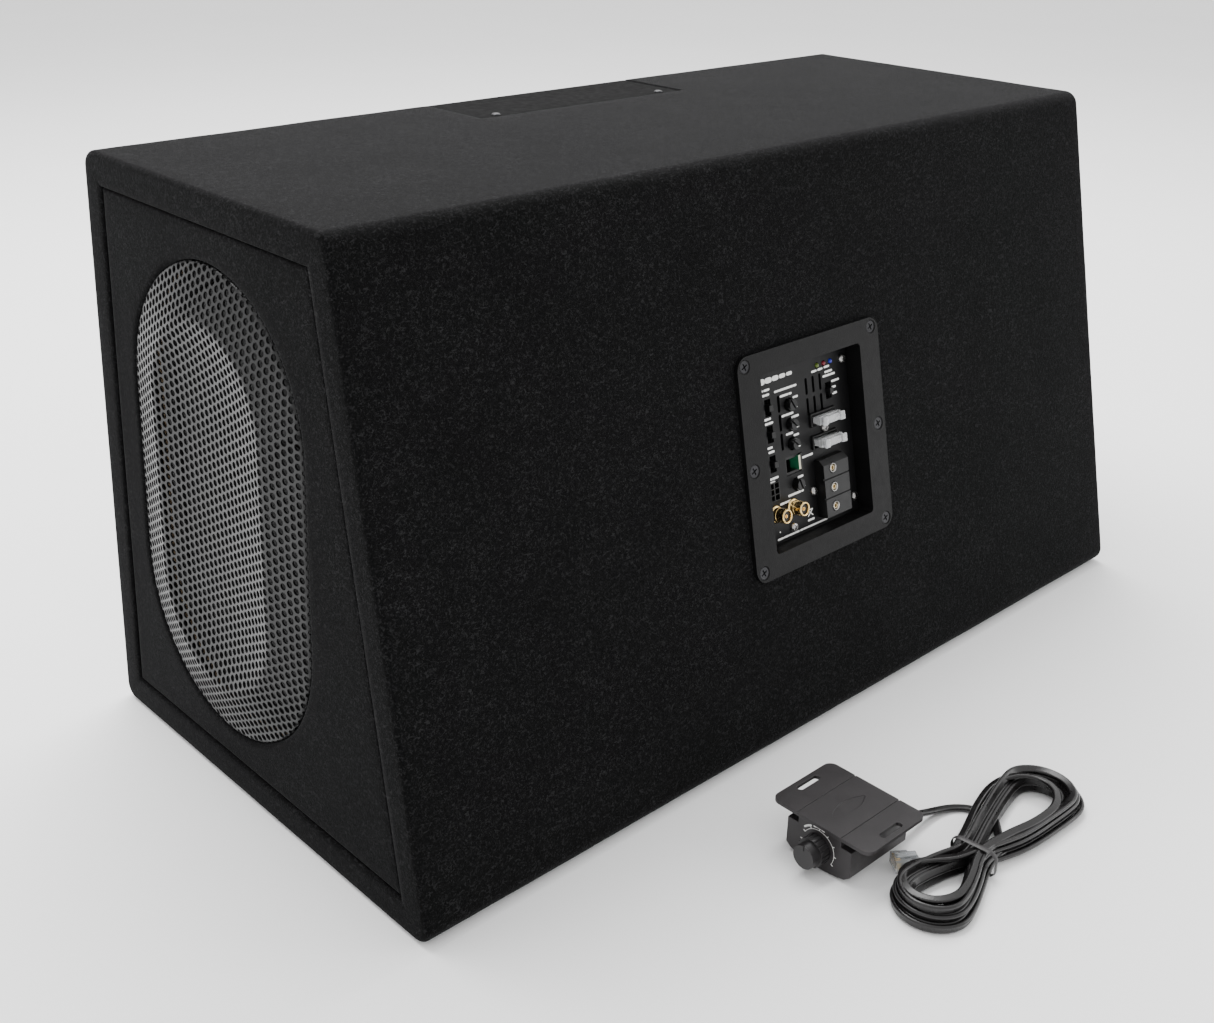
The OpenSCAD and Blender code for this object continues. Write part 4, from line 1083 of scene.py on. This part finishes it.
def make_remote_marks():
    """White ticks and an arc round the knob, with a dashed caption above it."""
    front_x, knob_y, knob_z = -117.0, -218.5, 11.4
    radius, tick, caption_r, caption_drop = 9.7, 1.1, 12.4, 1.2

    def round_knob(degrees, r):
        a = math.radians(degrees)
        return math.sin(a) * r, math.cos(a) * r

    bars = []
    for k in range(9):
        a = -120 + 30 * k
        bars.append((*round_knob(a, radius), *round_knob(a, radius + tick), 0.35))
    for k in range(20):
        bars.append((*round_knob(-60 + 9 * k, radius), *round_knob(-51 + 9 * k, radius), 0.2))
    for a, b in ((-46, -24), (-16, 14)):
        for k in range(4):
            u0, v0 = round_knob(a + (b - a) * (k + 0.1) / 4, caption_r)
            u1, v1 = round_knob(a + (b - a) * (k + 0.8) / 4, caption_r)
            bars.append((u0, v0 - caption_drop, u1, v1 - caption_drop, 1.0))

    def place(u, v, out):
        return Vector((front_x - out, knob_y - u, knob_z + v)) * MM

    flat_marks("remote_marks", [b for b in bars if b[1] > -9.0 and abs(b[0]) < 18], place, "remote")


make_marks()
make_screws()
make_socket_board()
make_remote_marks()
make_jacks()
make_fuses()
make_lights()
for nodes, width, material, slot, segments in (
        ("amp_bezel", 0.9, BEZEL, "bezel_plastic", 4), ("bezel_screws", 0.12, BLACK_STEEL, "black_screw", 2),
        ("amp_plate", 0.15, PANEL, "panel_paint", 2), ("plate_screws", 0.2, BRIGHT, "bright_screw", 2),
        ("terminal_block", 0.45, BLOCK, "black_moulding", 3),
        ("fuse_holders", 0.3, BLACK, "black_moulding", 2),
        ("speaker_input_socket", 0.15, BLACK, "black_moulding", 2),
        ("control_housings", 0.2, BLACK, "black_moulding", 2),
        ("phase_slider input_slider filter_slider turn_on_slider", 0.25, BLACK, "black_moulding", 2),
        ("low_pass_rotor subsonic_rotor level_rotor bass_boost_rotor", 0.3, BLOCK, "black_moulding", 3),
        ("pocket_plate", 0.35, POCKET, "pocket_sheet", 2),
        ("pocket_screws", 0.25, BLACK_STEEL, "black_screw", 2),
        ("remote_housing", 0.55, REMOTE, "remote_plastic", 3),
        ("remote_bracket", 0.1, REMOTE, "remote_plastic", 3),
        ("remote_knob", 0.3, KNOB, "remote_plastic", 2)):
    for node in nodes.split():
        refined(node, width, material, segments)

for nodes, material in (
        ("bottom_board top_board back_board front_board left_end_board right_end_board", BOARD),
        ("baskets", BASKET), ("surrounds", RUBBER), ("spiders", SPIDER),
        ("left_cone right_cone left_dust_cap right_dust_cap", CONE),
        ("left_voice_coil right_voice_coil", COPPER), ("magnets", FERRITE),
        ("motor_plates motor_yokes", PLATED), ("driver_screws", BLACK_STEEL), ("speaker_wires", LEADS),
        ("amp_case", ALUMINIUM), ("circuit_board", LAMINATE), ("heat_sink", ALUMINIUM),
        ("capacitors", SLEEVE), ("remote_socket", BLACK)):
    for node in nodes.split():
        dress(node, material)


# ---- floor and light --------------------------------------------------------
def make_stage():
    mesh = bpy.data.meshes.new("floor")
    size = 6.0
    corners = ((-1, -1), (1, -1), (1, 1), (-1, 1))
    mesh.from_pydata([(x * size, y * size, -0.0004) for x, y in corners], [], [(0, 1, 2, 3)])
    n = Nodes("floor_paper")
    shade = n.mix(n.spread(n.noise(3.0), 0.0, 1.0), (0.94, 0.94, 0.94), (0.96, 0.96, 0.96))
    mesh.materials.append(n.finish(shade, 0.8, n.bump(n.noise(400.0), 0.0001, 0.2)))
    floor = bpy.data.objects.new("floor", mesh)
    bpy.context.scene.collection.objects.link(floor)


def area_light(name, place, target, size, power):
    data = bpy.data.lights.new(name, "AREA")
    data.shape = "RECTANGLE"
    data.size, data.size_y = size
    data.energy = power
    light = bpy.data.objects.new(name, data)
    light.location = place
    light.rotation_mode = "QUATERNION"
    light.rotation_quaternion = (Vector(target) - Vector(place)).to_track_quat("-Z", "Y")
    bpy.context.scene.collection.objects.link(light)


def make_light():
    world = bpy.data.worlds.new("studio")
    bpy.context.scene.world = world
    world.use_nodes = True
    background = world.node_tree.nodes["Background"]
    background.inputs["Color"].default_value = (1.0, 1.0, 1.0, 1.0)
    background.inputs["Strength"].default_value = 1.4
    area_light("overhead", (0.1, 0.75, 1.7), (0, 0.05, 0.3), (2.2, 1.2), 80.0)
    area_light("right_front", (1.7, -1.5, 1.0), (0.1, -0.1, 0.1), (1.0, 1.0), 12.0)
    area_light("left_high", (-1.6, -0.5, 1.5), (-0.2, -0.1, 0.15), (0.8, 0.8), 2.0)


make_stage()
make_light()
